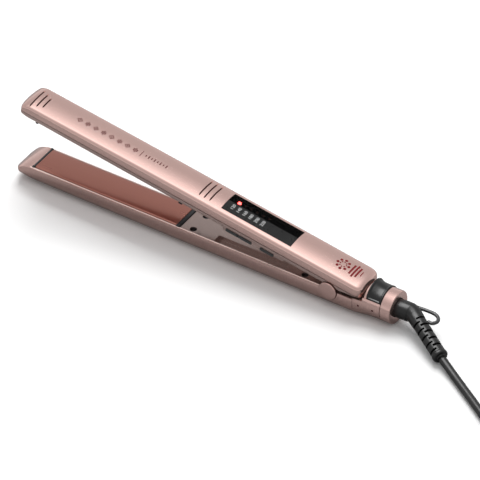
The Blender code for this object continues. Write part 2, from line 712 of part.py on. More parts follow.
def rear_body(parent):
    """The round cover behind the hinge, recessed for the lock slider, and what it hides."""
    start, end = COVER_START_X + GAP / 2, RING_START_X - GAP
    rings = []
    for x in (start, *BARREL_STATIONS[1:], end):
        lower = lower_ring(x)[1:-1]
        upper = [(x, y, 2 * BARREL_Z - z) for x, y, z in lower]
        rings.append(upper + lower[-2:0:-1])
    cover = solid("rear_top_cover", loft(rings), parent, ROSE)
    floor = BARREL_RADIUS - RECESS_DEPTH
    centre = (0, 0, BARREL_Z)
    cut(cover, "hollow", rod("x", start + 1.8, RING_END_X, floor - 1.6, centre, 32))
    deck = block((0, -OUTSIDE, DECK_Z), (DECK_END_X, OUTSIDE, OUTSIDE))
    below = block((0, -OUTSIDE, -30), (RING_END_X, OUTSIDE, BARREL_SEAM_Z + GAP / 2))
    slot = block((STEM_X[0] - 4.6, -2.1, 0), (STEM_X[1] + 2.6, 2.1, OUTSIDE))
    cut(cover, "deck", deck, below, slot)
    half_angle = SADDLE_HALF_ANGLE + 1.5
    recess = [arc_ring(x, lambda turn: OUTSIDE, half_angle, 16, floor) for x in (DECK_END_X - 1, RING_END_X)]
    cut(cover, "recess", loft(recess))
    for number, x in enumerate((24.9, 36.4), 1):
        plug_rod = rod("y", -HALF_WIDTH - 0.15, -HALF_WIDTH + 0.35, 0.8, (x, 0, -3.2), 12)
        solid(f"side_plug_{number}", plug_rod, parent, MAROON)
    solid("swivel_contact_block", block((29.6, -6, -9), (37.4, 6, 2.6), 0.6), parent, BLACK)
    lead = [(29.2, 0, -7.6), (23, 0, -9.2), (0, 0, -9.8), (-60, 0, -9.8), (-118, 0, -9.8), (-200, 0, -9.2)]
    tube("lower_heater_lead", lead, 1.1, parent, RUBBER, 12, 1)


def end_ring(parent):
    profile = [
        (RING_START_X, BARREL_RADIUS),
        (RING_END_X - EDGE_CHAMFER, BARREL_RADIUS),
        (RING_END_X, BARREL_RADIUS - EDGE_CHAMFER),
    ]
    centre = (0, 0, BARREL_Z)
    ring = solid("end_ring", turned(profile, "x", centre, 48), parent, ROSE)
    mouth = BOOT_RADIUS + 0.4
    bore = [(30, RING_BORE), (RING_FLOOR_X, RING_BORE), (RING_FLOOR_X, mouth), (60, mouth)]
    cut(ring, "bore", turned(bore, "x", centre, 40))


def saddle_radius(turn, lift):
    """The saddle's outer radius at this angle from the top: its ridge dies away towards both sides."""
    share = min(abs(turn) / math.radians(SADDLE_HALF_ANGLE), 1)
    return BARREL_RADIUS + 0.1 + lift * math.cos(share * math.pi / 2) ** 0.8


def lock_slider(parent):
    """A concave thumb saddle on a T-shaped stem that runs in the rear cover's slot."""
    middle = (SADDLE_START_X + SADDLE_END_X) / 2
    axis = empty("lock_slider_axis", (middle, 0, BARREL_Z), parent=parent)
    inner = BARREL_RADIUS - RECESS_DEPTH + GAP
    rings = []
    for share in (0, 0.12, 0.3, 0.6, 0.85, 1):
        x = SADDLE_START_X + (SADDLE_END_X - SADDLE_START_X) * share
        lift = SADDLE_LIP * (1 - share) ** 2.2 + SADDLE_REAR_LIP * within((share - 0.85) / 0.15)
        ring = arc_ring(x, lambda turn: saddle_radius(turn, lift), SADDLE_HALF_ANGLE, 16, inner)
        rings.append([(px - middle, y, z - BARREL_Z) for px, y, z in ring])
    saddle = solid("lock_slider", loft(rings), axis, BLACK)
    start, end = STEM_X[0] - middle, STEM_X[1] - middle
    half = STEM_HALF_WIDTH
    add(saddle, "stem", block((start, -half, 8.4), (end, half, inner + 0.5)))
    add(saddle, "foot", block((start - 0.8, -2 * half, 7.4), (end + 0.8, 2 * half, 8.9)))


def sweep(path, radii, steps=16):
    """A closed solid of round sections along a path, each square to the path's direction there."""
    rings = []
    for k, place in enumerate(path):
        ahead = path[min(k + 1, len(path) - 1)] - path[max(k - 1, 0)]
        side = ahead.cross(Vector((0, 0, 1))).normalized()
        up = side.cross(ahead).normalized()
        ring = []
        for j in range(steps):
            turn = 2 * math.pi * j / steps
            ring.append(place + radii[k] * (side * math.cos(turn) + up * math.sin(turn)))
        rings.append(ring)
    return loft(rings)


def swivel(parent):
    """What turns with the cord. The empty lies on the barrel's axis, and places are taken from there."""
    middle = Vector((ELBOW[0], 0, BARREL_Z))
    axis = empty("cord_swivel_axis", middle, parent=parent)
    profile = [(37.8, 4.4), (43.4, 4.4), (43.4, 9.6), (46.0, 9.6)]
    spool = turned([(x - middle.x, radius) for x, radius in profile], "x", steps=24)
    solid("swivel_spool", spool, axis, BRASS)

    start = Vector((46.3, 0, BARREL_Z)) - middle
    arm = Vector(BOOT_END) - middle
    bend_start, bend_end = start * 0.3, arm * 0.12
    path = [start, start * 0.55, bend_start]
    path += [bend_start * (1 - t) ** 2 + bend_end * t**2 for t in (k / 6 for k in range(1, 6))]
    path += [arm * share for share in (0.12, 0.3, 0.6, 0.92, 0.94, 0.985, 1)]
    neck = RIBBED_RADIUS + 0.5
    radii = [BOOT_RADIUS] * 3
    radii += [BOOT_RADIUS + (neck - BOOT_RADIUS) * k / 6 for k in range(1, 6)]
    lip = RIBBED_RADIUS + 0.4
    radii += [neck, neck - 0.2, RIBBED_RADIUS, RIBBED_RADIUS, lip, lip, RIBBED_RADIUS]
    solid("cord_boot", sweep(path, radii), axis, RUBBER)
    around = [(x - middle.x, y, 0) for x, y in LOOP_ROUTE]
    tube("hanging_loop", around, LOOP_RADIUS, axis, GREY, 2.6, 2)


# ---- the cord, its coil and its plug, in world millimetres ----


def cord():
    """The loose cord, with its middle in a neat coil that a strap holds."""
    tube("cord_lead_in", CORD_LEAD_IN, CORD_RADIUS, None, RUBBER, 6.5)
    tube("cord_lead_out", CORD_LEAD_OUT, CORD_RADIUS, None, RUBBER, 6.5)
    x, y = COIL_CENTRE
    coil = collar("z", COIL_BOTTOM, COIL_TOP, COIL_OUTER, COIL_INNER, (x, y, 0), 48)
    solid("cord_coil", coil, None, RUBBER)
    outer, inner = x - COIL_OUTER - GAP, x - COIL_INNER + 1.0
    thick, half = TIE_THICKNESS, TIE_HALF_WIDTH
    top = COIL_TOP + GAP
    strap = block((outer - thick, y - half, 0), (inner + thick, y + half, top + thick))
    tie = solid("cord_tie", strap, None, BLACK)
    cut(tie, "inside", block((outer, y - 2 * half, COIL_BOTTOM - GAP), (inner, y + 2 * half, top)))


def plug_ring(x, wide, tall, steps=20):
    """A round section where the plug is narrow, and a squarish one where it is wide."""
    power = 0.5 if wide > 8 else 1.0
    ring = []
    for k in range(steps):
        turn = 2 * math.pi * k / steps
        across = math.copysign(abs(math.cos(turn)) ** power, math.cos(turn))
        up = math.copysign(abs(math.sin(turn)) ** power, math.sin(turn))
        ring.append((x, PLUG_Y + wide * across, PLUG_Z + tall * up))
    return ring


def plug():
    rear, front = PLUG_REAR_X, PLUG_FRONT_X
    sections = [
        (rear, 4.0, 4.0),
        (rear - 8, 4.8, 4.6),
        (rear - 13, 5.6, 5.4),
        (rear - 15, 9.0, 6.4),
        (rear - 22, 12.5, 6.8),
        (rear - 34, 15.6, 6.8),
        (front + 2, 17.0, 6.8),
        (front, 16.2, 6.0),
    ]
    solid("plug_body", loft([plug_ring(*section) for section in sections]), None, RUBBER)
    tip = front - PLUG_PIN_LENGTH
    profile = [(front - GAP, PLUG_PIN_RADIUS), (tip + 0.8, PLUG_PIN_RADIUS), (tip, PLUG_PIN_RADIUS - 0.6)]
    for name, side in (("plug_pin_1", -1), ("plug_pin_2", 1)):
        pin = turned(profile, "x", (0, PLUG_Y + side * PLUG_PIN_Y, PLUG_Z), 12)
        solid(name, pin, None, BRASS)


def main():
    clear_scene()
    base = empty("hinge_point", (HINGE_X, 0, HINGE_Z))
    upper = empty("upper_arm_axis", (0, 0, 0), OPEN_ANGLE, base)
    lower_shell(base)
    lower_inner_cover(base)
    plate_set("lower", lambda z: z, base, empty("lower_plate_axis", (0, 0, 0), parent=base))
    screws("lower", SCREW_X_LOWER, -2.2, -1.0, -9.0, base)
    hinge(base)
    rear_body(base)
    end_ring(base)
    lock_slider(base)
    swivel(base)
    upper_shell(upper)
    upper_tray(upper)
    plate_set("upper", mirrored, upper, empty("upper_plate_axis", (0, 0, 0), parent=upper))
    screws("upper", SCREW_X_UPPER, 6.7, 7.9, 11.5, upper)
    control_panel(upper)
    buttons(upper)
    cord()
    plug()


main()
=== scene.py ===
"""A rose-gold hair straightener: what is seen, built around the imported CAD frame.

Shapes are written in millimetres from the hinge axis, in the frame of their own arm: x runs from the tips (-)
to the cord (+), y across, away from the buttons, and z up. The upper arm's frame is the closed one, and its
matrix opens it. The cord and its plug are written in metres in the row frame.
"""

import json
import math

import bmesh
import bpy
from mathutils import Matrix, Vector

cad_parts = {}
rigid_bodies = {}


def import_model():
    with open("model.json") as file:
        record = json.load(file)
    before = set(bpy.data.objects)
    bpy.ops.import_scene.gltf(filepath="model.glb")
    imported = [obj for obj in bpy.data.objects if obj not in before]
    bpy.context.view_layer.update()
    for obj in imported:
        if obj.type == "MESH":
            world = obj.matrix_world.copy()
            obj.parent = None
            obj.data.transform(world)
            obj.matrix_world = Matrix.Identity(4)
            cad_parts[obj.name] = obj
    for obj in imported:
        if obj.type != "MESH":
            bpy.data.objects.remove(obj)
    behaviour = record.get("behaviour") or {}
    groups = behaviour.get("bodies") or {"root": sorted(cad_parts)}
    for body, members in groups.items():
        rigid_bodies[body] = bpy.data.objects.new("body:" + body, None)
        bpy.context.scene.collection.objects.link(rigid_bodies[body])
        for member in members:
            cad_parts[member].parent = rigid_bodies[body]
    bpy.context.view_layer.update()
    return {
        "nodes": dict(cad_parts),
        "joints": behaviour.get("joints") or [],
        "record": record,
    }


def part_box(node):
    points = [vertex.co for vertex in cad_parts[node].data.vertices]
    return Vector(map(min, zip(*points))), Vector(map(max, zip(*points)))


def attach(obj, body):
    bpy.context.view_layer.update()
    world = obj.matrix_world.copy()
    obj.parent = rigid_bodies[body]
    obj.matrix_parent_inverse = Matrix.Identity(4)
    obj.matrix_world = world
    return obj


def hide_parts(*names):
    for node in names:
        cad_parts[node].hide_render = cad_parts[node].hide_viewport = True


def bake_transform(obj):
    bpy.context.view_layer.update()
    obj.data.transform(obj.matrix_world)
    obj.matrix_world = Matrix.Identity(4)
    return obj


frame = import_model()

MM = 0.001
JOINTS = {joint["name"]: joint for joint in frame["joints"]}
HINGE = Vector(JOINTS["arm_hinge"]["pos_m"])
OPEN_ANGLE = -math.radians(JOINTS["arm_hinge"]["range_deg"][0])
ROW = Matrix.Identity(4)
LOWER = Matrix.Translation(HINGE) @ Matrix.Scale(MM, 4)
UPPER = Matrix.Translation(HINGE) @ Matrix.Rotation(OPEN_ANGLE, 4, "Y") @ Matrix.Scale(MM, 4)
SIDES = (-1, 1)


def extent(node, arm=LOWER):
    """A CAD node's lowest and highest corners, in millimetres in that arm's frame."""
    turn_back = arm.inverted()
    places = [turn_back @ vert.co for vert in frame["nodes"][node].data.vertices]
    return [Vector([pick(p[i] for p in places) for i in range(3)]) for pick in (min, max)]


# ---- sizes read from the frame ----
LOWER_SHELL = extent("lower_shell")
UPPER_SHELL = extent("upper_shell", UPPER)
INNER_COVER = extent("lower_inner_cover")
REAR_COVER = extent("rear_top_cover")
RING = extent("end_ring")
WINDOW = extent("display_window", UPPER)
SCALE_PANEL = extent("scale_panel", UPPER)
TIP_X = LOWER_SHELL[0].x - 3.5
TAIL_X = UPPER_SHELL[1].x
HALF_WIDTH = UPPER_SHELL[1].y
LOWER_RIM = LOWER_SHELL[1].z
SEAM_Z = UPPER_SHELL[0].z
CROWN_Z = UPPER_SHELL[1].z
FLOOR_Z = LOWER_SHELL[0].z
BARREL_RADIUS = (RING[1].z - RING[0].z) / 2
BARREL_Z = (RING[1].z + RING[0].z) / 2
PANEL_SPLIT_Y = (WINDOW[0].y + SCALE_PANEL[1].y) / 2
PANEL_HALF_WIDTH = WINDOW[1].y

# ---- sizes of the shells ----
WALL = 1.4
GAP = 0.3
UPPER_RIM = 4.3
DOME_RADIUS = 38.0
SHOULDER_RADIUS = 4.0
NOSE_LENGTH = 14.5
NOSE_LOWER_Z = -8.0
UPPER_PLAN = (4.0, 2.0)  # a nose's length and the power of its curve
UPPER_RISE = (9.7, 1.66)
LOWER_PLAN = (5.0, 1.8)
LOWER_RISE = (14.5, 1.5)
TAIL_LENGTH = 10.4
TAIL_POWER = 3.7
TAIL_RISE_POWER = 3.3
TAPER_START_X = -130.0
TAPER_END_X = -252.5
TIP_RISE = 1.0
FRONT_DROP = 1.4
BELLY_POWER = 2.5
BELLY_EXCESS = 0.04
BARREL_START_X = REAR_COVER[0].x - 0.15 - 1
BARREL_BLEND_LENGTH = 14.0
BARREL_SEAM_Z = -7.6
OUTSIDE = 25.0
SCREW_X_LOWER = (-117.5, -22.5)
SCREW_X_UPPER = (-117.5, -28.0)
SCREW_Y = 8.6
SCREW_WELL = 2.6
GROOVE_HALF_WIDTH = 0.6
GROOVE_DEPTH = 1.1
MID_GROOVES = {-116.6: (-9.1, 9.6), -112.2: (-9.1, 9.6), -107.6: (-8.9, 9.4)}  # x: the ends' y
FRONT_GROOVES = {-261.8: (-12.2, 8.2), -257.6: (-9.8, 6.2), -253.4: (-7.9, 3.8)}
PANEL_GAP = 0.2
PANEL_SINK = 0.2
PANEL_BAY_Z = 12.1
TRAY_REAR_LIFT = 2.7  # how far the tray's edge rises behind the hinge
TRAY_LIFT_LENGTH = 12.0
REAR_X = 8.0  # behind the hinge caps
KNUCKLE_RADIUS = 4.5
LUG_SPAN = (6.4, 9.0)  # from the middle: the upper arm's hinge lugs
EAR_SPAN = (9.5, 11.6)  # and the lower arm's
LIP_ENDS_X = (-256.0, -7.0)
COVER_THICKNESS = 1.6
TUB_X = (-99.5, -36.5)  # the inner cover's box that the button housing shuts into
TUB_Y = -3.0
TUB_WALL = 1.5
DECK_Z = 1.6  # the rear cover's lower front part
DECK_END_X = 27.6
SADDLE_HALF_ANGLE = 59.0
SADDLE_LIP = 2.6
RECESS_DEPTH = 1.4

# ---- sizes of the lamps and the print ----
LAMP_RIM = 0.25
LIT_LAMP_RIM = 1.1
NUMERAL_Y = -3.7
NUMERAL_SIZE = 3.5
PRINT_DEPTH = 0.05
PRINT_SINK = 0.02

# ---- the camera ----
CAMERA_AZIMUTH = 32.59
CAMERA_ELEVATION = 39.18
CAMERA_ROLL = 0.26
CAMERA_DISTANCE = 5.016
CAMERA_LENS = 524.4
CAMERA_TARGET_X = -83.2  # along the body, from the hinge

# ---- the cord, in metres in the row frame ----
CORD_DIAMETER = 0.006
CORD_STEP = 0.0025
CORD_LEAD_IN = [
    (0.2092, -0.0234, 0.0055),
    (0.2170, -0.0278, 0.0043),
    (0.2270, -0.0338, 0.0033),
    (0.2400, -0.0420, 0.0030),
    (0.2520, -0.0498, 0.0030),
    (0.2620, -0.0564, 0.0030),
    (0.2720, -0.0628, 0.0030),
    (0.2815, -0.0688, 0.0030),
]
CORD_TO_COIL = [(0.2960, -0.0788, 0.0030), (0.3110, -0.0893, 0.0033)]
CORD_FROM_COIL = [(0.3706, -0.0315, 0.0185)]
CORD_LEAD_OUT = [
    (0.3615, -0.0126, 0.0112),
    (0.3565, -0.0060, 0.0086),
    (0.3500, -0.0010, 0.0067),
    (0.3430, 0.0022, 0.0057),
    (0.3350, 0.0038, 0.0056),
    (0.3265, 0.0040, 0.0063),
    (0.3186, 0.0040, 0.0068),
]
COIL_LAYERS = 4
COIL_TURNS_A_LAYER = 3.0625
COIL_CENTRE = (0.328, -0.050)
COIL_FIRST_Z = 0.0039
COIL_WIDEST = 0.0422
COIL_TIGHTEST = 0.0238


# ---- meshes ----


def loft(rings, closed=False):
    """A solid through rings of equally many points: capped at both ends, or closed on itself."""
    bm = bmesh.new()
    rows = [[bm.verts.new(point) for point in ring] for ring in rings]
    pairs = list(zip(rows, rows[1:]))
    if closed:
        pairs.append((rows[-1], rows[0]))
    for a, b in pairs:
        for i in range(len(a)):
            j = (i + 1) % len(a)
            bm.faces.new((a[i], a[j], b[j], b[i]))
    if not closed:
        bm.faces.new(rows[0])
        bm.faces.new(rows[-1])
    bmesh.ops.recalc_face_normals(bm, faces=bm.faces)
    return bm


def circle(steps):
    """The angles of this many places, evenly round a circle."""
    return [2 * math.pi * k / steps for k in range(steps)]


def spread(start, end, steps):
    """Even steps from start to end, with both ends."""
    return [start + (end - start) * k / steps for k in range(steps + 1)]


def arc(start, end, steps):
    """The same for angles: degrees in, radians out."""
    return [math.radians(turn) for turn in spread(start, end, steps)]


def block(low, high, bevel=0.0, segments=3):
    """A box between two opposite corners, with its edges rounded by the bevel."""
    bm = bmesh.new()
    bmesh.ops.create_cube(bm, size=1)
    spans = [sorted(pair) for pair in zip(low, high)]
    for vert in bm.verts:
        vert.co = Vector([c * (b - a) + (b + a) / 2 for c, (a, b) in zip(vert.co, spans)])
    if bevel:
        bmesh.ops.bevel(bm, geom=bm.edges, offset=bevel, segments=segments, affect="EDGES", profile=0.5)
    return bm


def turned(profile, axis, centre=(0, 0, 0), steps=64, closed=False):
    """A solid of revolution: profile holds (along, radius) pairs, and the axis is 'x', 'y' or 'z'."""
    rings = []
    for along, radius in profile:
        ring = []
        for turn in circle(steps):
            across, up = radius * math.cos(turn), radius * math.sin(turn)
            point = {"x": (along, across, up), "y": (up, along, across), "z": (across, up, along)}[axis]
            ring.append([p + c for p, c in zip(point, centre)])
        rings.append(ring)
    return loft(rings, closed)


def rod(axis, start, end, radius, centre=(0, 0, 0), steps=32):
    return turned([(start, radius), (end, radius)], axis, centre, steps)


def corner_arc(along, radius, turn_from, turn_to, size, steps=4):
    """Points of a rounded corner in a turned profile, about the point (along, radius)."""
    turns = arc(turn_from, turn_to, steps)
    return [(along + size * math.cos(t), radius + size * math.sin(t)) for t in turns]


def smooth_path(points, step):
    """Points about a step apart along a Catmull-Rom curve through the given points."""
    route = [Vector(p) for p in points]
    route = [2 * route[0] - route[1], *route, 2 * route[-1] - route[-2]]
    fine = []
    for a, b, c, d in zip(route, route[1:], route[2:], route[3:]):
        for k in range(12):
            t = k / 12
            square = (2 * a - 5 * b + 4 * c - d) * t**2
            cube = (3 * b - a - 3 * c + d) * t**3
            fine.append((2 * b + (c - a) * t + square + cube) / 2)
    fine.append(route[-2])
    length = sum((q - p).length for p, q in zip(fine, fine[1:]))
    count = max(2, round(length / step))
    wanted = [length * k / count for k in range(count + 1)]
    walked, path = 0.0, []
    for p, q in zip(fine, fine[1:]):
        piece_length = (q - p).length
        while wanted and wanted[0] <= walked + piece_length + 1e-9:
            path.append(p + (q - p) * min(1.0, (wanted.pop(0) - walked) / piece_length))
        walked += piece_length
    while len(path) <= count:
        path.append(fine[-1])
    return path


def sweep(path, radii, steps=24, squash=1.0):
    """A closed solid of round sections along a path. The sections turn as little as they can on the way."""
    rings = []
    side = None
    for k, place in enumerate(path):
        ahead = (path[min(k + 1, len(path) - 1)] - path[max(k - 1, 0)]).normalized()
        if side is None:
            side = ahead.cross(Vector((0, 0, 1))).normalized()
        side = (side - ahead * side.dot(ahead)).normalized()
        up = side.cross(ahead)
        radius = radii[k] if isinstance(radii, list) else radii
        turns = circle(steps)
        rings.append([place + radius * (side * math.cos(t) + up * squash * math.sin(t)) for t in turns])
    return loft(rings)


def mesh_from(name, bm):
    """Makes the shape a mesh, and frees it."""
    mesh = bpy.data.meshes.new(name)
    bm.to_mesh(mesh)
    bm.free()
    return mesh


def linked(name, data):
    """A new object with this data, in the scene."""
    obj = bpy.data.objects.new(name, data)
    bpy.context.scene.collection.objects.link(obj)
    return obj


def shape_of(obj):
    """The object's shape with its modifiers applied."""
    evaluated = obj.evaluated_get(bpy.context.evaluated_depsgraph_get())
    bm = bmesh.new()
    bm.from_mesh(evaluated.to_mesh())
    evaluated.to_mesh_clear()
    return bm


def joined(*shapes):
    whole = bmesh.new()
    for bm in shapes:
        mesh = mesh_from("shape", bm)
        whole.from_mesh(mesh)
        bpy.data.meshes.remove(mesh)
    return whole


def temporary(bm):
    bmesh.ops.recalc_face_normals(bm, faces=bm.faces)
    return linked("temporary", mesh_from("temporary", bm))


def carved(bm, *cutters, operation="DIFFERENCE"):
    """The shape with each cutter taken away, or added."""
    objects = [temporary(shape) for shape in (bm, *cutters)]
    for cutter in objects[1:]:
        modifier = objects[0].modifiers.new("carve", "BOOLEAN")
        modifier.object = cutter
        modifier.operation = operation
    result = shape_of(objects[0])
    for obj in objects:
        mesh = obj.data
        bpy.data.objects.remove(obj)
        bpy.data.meshes.remove(mesh)
    return result


def piece(name, bm, arm, look, replaced=(), body=None, bevel=0.0, smooth=35):
    """Makes the shape an object of that look, which rides on a CAD body in place of its CAD nodes.

    Unless it is given, the body is the arm that the frame belongs to.
    """
    bmesh.ops.recalc_face_normals(bm, faces=bm.faces)
    bm.transform(arm)
    mesh = mesh_from(name, bm)
    mesh.materials.append(LOOKS[look])
    mesh.shade_smooth()
    mesh.set_sharp_from_angle(angle=math.radians(smooth))
    obj = linked(name, mesh)
    if bevel:
        modifier = obj.modifiers.new("edges", "BEVEL")
        modifier.width = bevel * MM
        modifier.segments = 3
        modifier.limit_method = "ANGLE"
        modifier.angle_limit = math.radians(smooth)
        modifier.harden_normals = True
    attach(obj, body or ("upper_arm" if arm is UPPER else "lower_arm"))
    if replaced:
        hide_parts(*replaced)
    return obj


# ---- materials ----


def add_node(tree, kind, **inputs):
    """A new shader node. Each input named here gets a value, or a link if it is given a node's output."""
    node = tree.nodes.new(f"ShaderNode{kind}")
    for name, value in inputs.items():
        if isinstance(value, bpy.types.NodeSocket):
            tree.links.new(value, node.inputs[name])
        else:
            node.inputs[name].default_value = value
    return node


class Look:
    """A Principled material whose colour, roughness and surface are worked from the place on the object."""

    def __init__(self, name, colour, roughness, metallic=0.0, coat=0.0, ior=1.5):
        self.material = bpy.data.materials.new(name)
        self.material.use_nodes = True
        self.tree = self.material.node_tree
        self.shader = self.tree.nodes["Principled BSDF"]
        self.set("Base Color", (*colour, 1))
        self.set("Roughness", roughness)
        self.set("Metallic", metallic)
        self.set("Coat Weight", coat)
        self.set("Coat Roughness", 0.08)
        self.set("IOR", ior)
        self.colour = colour
        self.roughness = roughness
        self.place = add_node(self.tree, "TexCoord").outputs["Object"]

    def set(self, name, value):
        self.shader.inputs[name].default_value = value

    def noise(self, scale, detail=3.0, stretch=(1, 1, 1)):
        mapping = add_node(self.tree, "Mapping", Scale=stretch, Vector=self.place)
        place = mapping.outputs["Vector"]
        return add_node(self.tree, "TexNoise", Scale=scale, Detail=detail, Vector=place).outputs["Fac"]

    def between(self, fac, low, high, start=0.35, end=0.65):
        """Turns a noise's middle range into a value from low to high."""
        sizes = {"From Min": start, "From Max": end, "To Min": low, "To Max": high}
        return add_node(self.tree, "MapRange", Value=fac, **sizes).outputs["Result"]

    def tint(self, fac, most, share, other=(0, 0, 0), start=0.35, end=0.65):
        """Tints the surface, up to this much, with its own colour that has a share of the other in it."""
        mix = add_node(self.tree, "Mix")
        mix.data_type = "RGBA"
        source = self.shader.inputs["Base Color"]
        if source.is_linked:
            self.tree.links.new(source.links[0].from_socket, mix.inputs["A"])
        else:
            mix.inputs["A"].default_value = (*self.colour, 1)
        tinted = [c * (1 - share) + o * share for c, o in zip(self.colour, other)]
        mix.inputs["B"].default_value = (*tinted, 1)
        self.tree.links.new(self.between(fac, 0.0, most, start, end), mix.inputs["Factor"])
        self.tree.links.new(mix.outputs["Result"], source)

    def polish(self, fac, spread):
        """Varies the roughness about its value."""
        value = self.between(fac, self.roughness - spread, self.roughness + spread)
        self.tree.links.new(value, self.shader.inputs["Roughness"])

    def bump(self, height, strength, distance):
        """Adds relief."""
        relief = add_node(self.tree, "Bump", Strength=strength, Distance=distance, Height=height)
        self.tree.links.new(relief.outputs["Normal"], self.shader.inputs["Normal"])


def paint(name, colour, roughness=0.15):
    """Metallic paint: fine flakes that differ a little in tone, under a thin clear coat."""
    look = Look(name, colour, roughness, metallic=0.92, coat=0.35)
    look.tint(look.noise(5000, 0.0), 0.12, 0.3, start=0.4, end=0.9)
    look.tint(look.noise(25, 2.0), 0.15, 0.15)
    look.polish(look.noise(60, 3.0), 0.02)
    return look.material


def coated_plate(name, colour):
    """A ceramic-coated plate, polished along its length."""
    look = Look(name, colour, 0.3, metallic=0.85, coat=0.25)
    grain = look.noise(2600, 3.0, (0.03, 1, 1))
    look.tint(grain, 0.12, 0.25)
    look.tint(look.noise(20, 2.0), 0.15, 0.15)
    look.polish(look.noise(90, 3.0, (0.1, 1, 1)), 0.03)
    look.bump(grain, 0.015, 0.00002)
    return look.material


def plastic(name, colour, roughness, ior=1.5, grain=0.04):
    """Moulded plastic with a fine spark-eroded grain."""
    look = Look(name, colour, roughness, ior=ior)
    look.tint(look.noise(120, 4.0), 0.3, 0.03, (0.3, 0.3, 0.3))
    look.polish(look.noise(300, 3.0), 0.03)
    look.bump(look.noise(4200, 2.0), grain, 0.00004)
    return look.material


def rubber(name, colour, roughness=0.33, ior=1.5):
    """Soft vinyl with a faint bloom and a fine skin."""
    look = Look(name, colour, roughness, ior=ior)
    look.tint(look.noise(90, 5.0), 0.3, 0.02, (0.35, 0.35, 0.36))
    look.polish(look.noise(200, 4.0), 0.04)
    look.bump(look.noise(2400, 3.0), 0.04, 0.00005)
    return look.material


def metal(name, colour, roughness, stretch=(1, 1, 1)):
    look = Look(name, colour, roughness, metallic=1.0)
    grain = look.noise(3000, 3.0, stretch)
    look.tint(grain, 0.4, 0.35)
    look.polish(look.noise(500, 3.0), 0.06)
    look.bump(grain, 0.08, 0.00004)
    return look.material


def board(name, colour):
    """Solder mask with copper tracks showing faintly through it."""
    look = Look(name, colour, 0.4, coat=0.3)
    tracks = look.noise(420, 0.0, (1, 0.15, 1))
    look.tint(tracks, 0.6, 0.4, (0.35, 0.4, 0.1), 0.5, 0.53)
    look.bump(tracks, 0.2, 0.00005)
    return look.material


def glow(name, colour, strength):
    """A lamp's lens: brightest in patches where the light behind it is closest."""
    look = Look(name, colour, 0.25)
    look.tint(look.noise(900, 2.0), 0.4, 0.4, (1, 0.25, 0.15))
    if strength:
        look.set("Emission Color", (*colour, 1))
        look.set("Emission Strength", strength)
    return look.material


def smoked_window(name):
    """Dark glossy plastic that lets a lamp behind it show."""
    look = Look(name, NEAR_BLACK, 0.12, ior=1.1)
    look.polish(look.noise(220, 3.0), 0.02)
    look.bump(look.noise(60, 2.0), 0.03, 0.0001)
    look.set("Alpha", 0.5)
    return look.material


ROSE = (0.78, 0.52, 0.47)
# A darker copy of the rose paint for the tray under the upper shell: painted shade.
TRAY_SHADED_ROSE = (0.58, 0.42, 0.385)
# A darker copy of the rose paint for the inner cover panel: painted shade.
PANEL_SHADED_ROSE = (0.43, 0.33, 0.305)
# A lighter copy of the rose paint for the lower shell's rim lip: a painted highlight.
LIP_HIGHLIGHT_ROSE = (0.95, 0.74, 0.68)
COPPER = (0.43, 0.175, 0.135)
BLACK = (0.012, 0.012, 0.013)
NEAR_BLACK = (0.002, 0.002, 0.002)

LOOKS = {
    "shell_paint": paint("rose_paint", ROSE),
    "inner_paint": paint("tray_painted_shade_rose", TRAY_SHADED_ROSE, 0.2),
    "panel_shade_paint": paint("panel_painted_shade_rose", PANEL_SHADED_ROSE, 0.2),
    "lip_highlight_paint": paint("lip_painted_highlight_rose", LIP_HIGHLIGHT_ROSE, 0.42),
    "plate_coating": coated_plate("copper_coating", COPPER),
    "black_plastic": plastic("black_plastic", BLACK, 0.32, 1.4),
    "gloss_black": plastic("gloss_black_plastic", NEAR_BLACK, 0.24, 1.5, 0.01),
    "window": smoked_window("smoked_window"),
    "mask": plastic("lamp_mask_plastic", NEAR_BLACK, 0.6, 1.15),
    "panel_grey": plastic("panel_grey_plastic", (0.012, 0.012, 0.012), 0.3, 1.28, 0.01),
    "button_grey": plastic("button_grey_plastic", (0.03, 0.032, 0.034), 0.38, 1.45),
    "lamp": glow("unlit_lamp", (0.08, 0.055, 0.055), 0.0),
    "lit_lamp": glow("lit_lamp", (1.0, 0.09, 0.08), 22.0),
    "lamp_halo": glow("lamp_halo", (0.5, 0.02, 0.018), 1.5),
    "print_white": plastic("white_print", (0.55, 0.55, 0.55), 0.5),
    "print_red": plastic("dark_red_print", (0.16, 0.008, 0.01), 0.45, 1.3),
    "print_rose": plastic("dark_rose_print", (0.095, 0.02, 0.02), 0.5, 1.3),
    "groove_shade": plastic("groove_shade", (0.03, 0.012, 0.01), 0.6, 1.2),
    "cord_rubber": rubber("black_rubber", (0.003, 0.003, 0.003)),
    "loop_plastic": plastic("loop_grey_plastic", (0.025, 0.025, 0.026), 0.3, 1.6),
    "steel": metal("ground_steel", (0.55, 0.55, 0.56), 0.3, (1, 0.1, 1)),
    "screw_steel": metal("blackened_steel", (0.06, 0.06, 0.065), 0.35),
    "brass": metal("bright_brass", (0.72, 0.5, 0.22), 0.25, (0.1, 1, 1)),
    "board": board("circuit_board", (0.015, 0.09, 0.04)),
    "silicone": rubber("grey_silicone", (0.42, 0.42, 0.4), 0.55, 1.45),
    "heater": plastic("heater_ceramic", (0.5, 0.49, 0.46), 0.6),
    "plug_dark_red": plastic("dark_red_plastic", (0.04, 0.002, 0.003), 0.4, 1.3),
}


def dress_cad_nodes():
    """Gives every CAD node the look of its material slot. Those that a piece replaces are hidden later."""
    for entry in frame["record"]["subparts"]:
        mesh = frame["nodes"][entry["node"]].data
        mesh.materials.clear()
        mesh.materials.append(LOOKS[entry["material_slot"]])


# ---- the stage ----


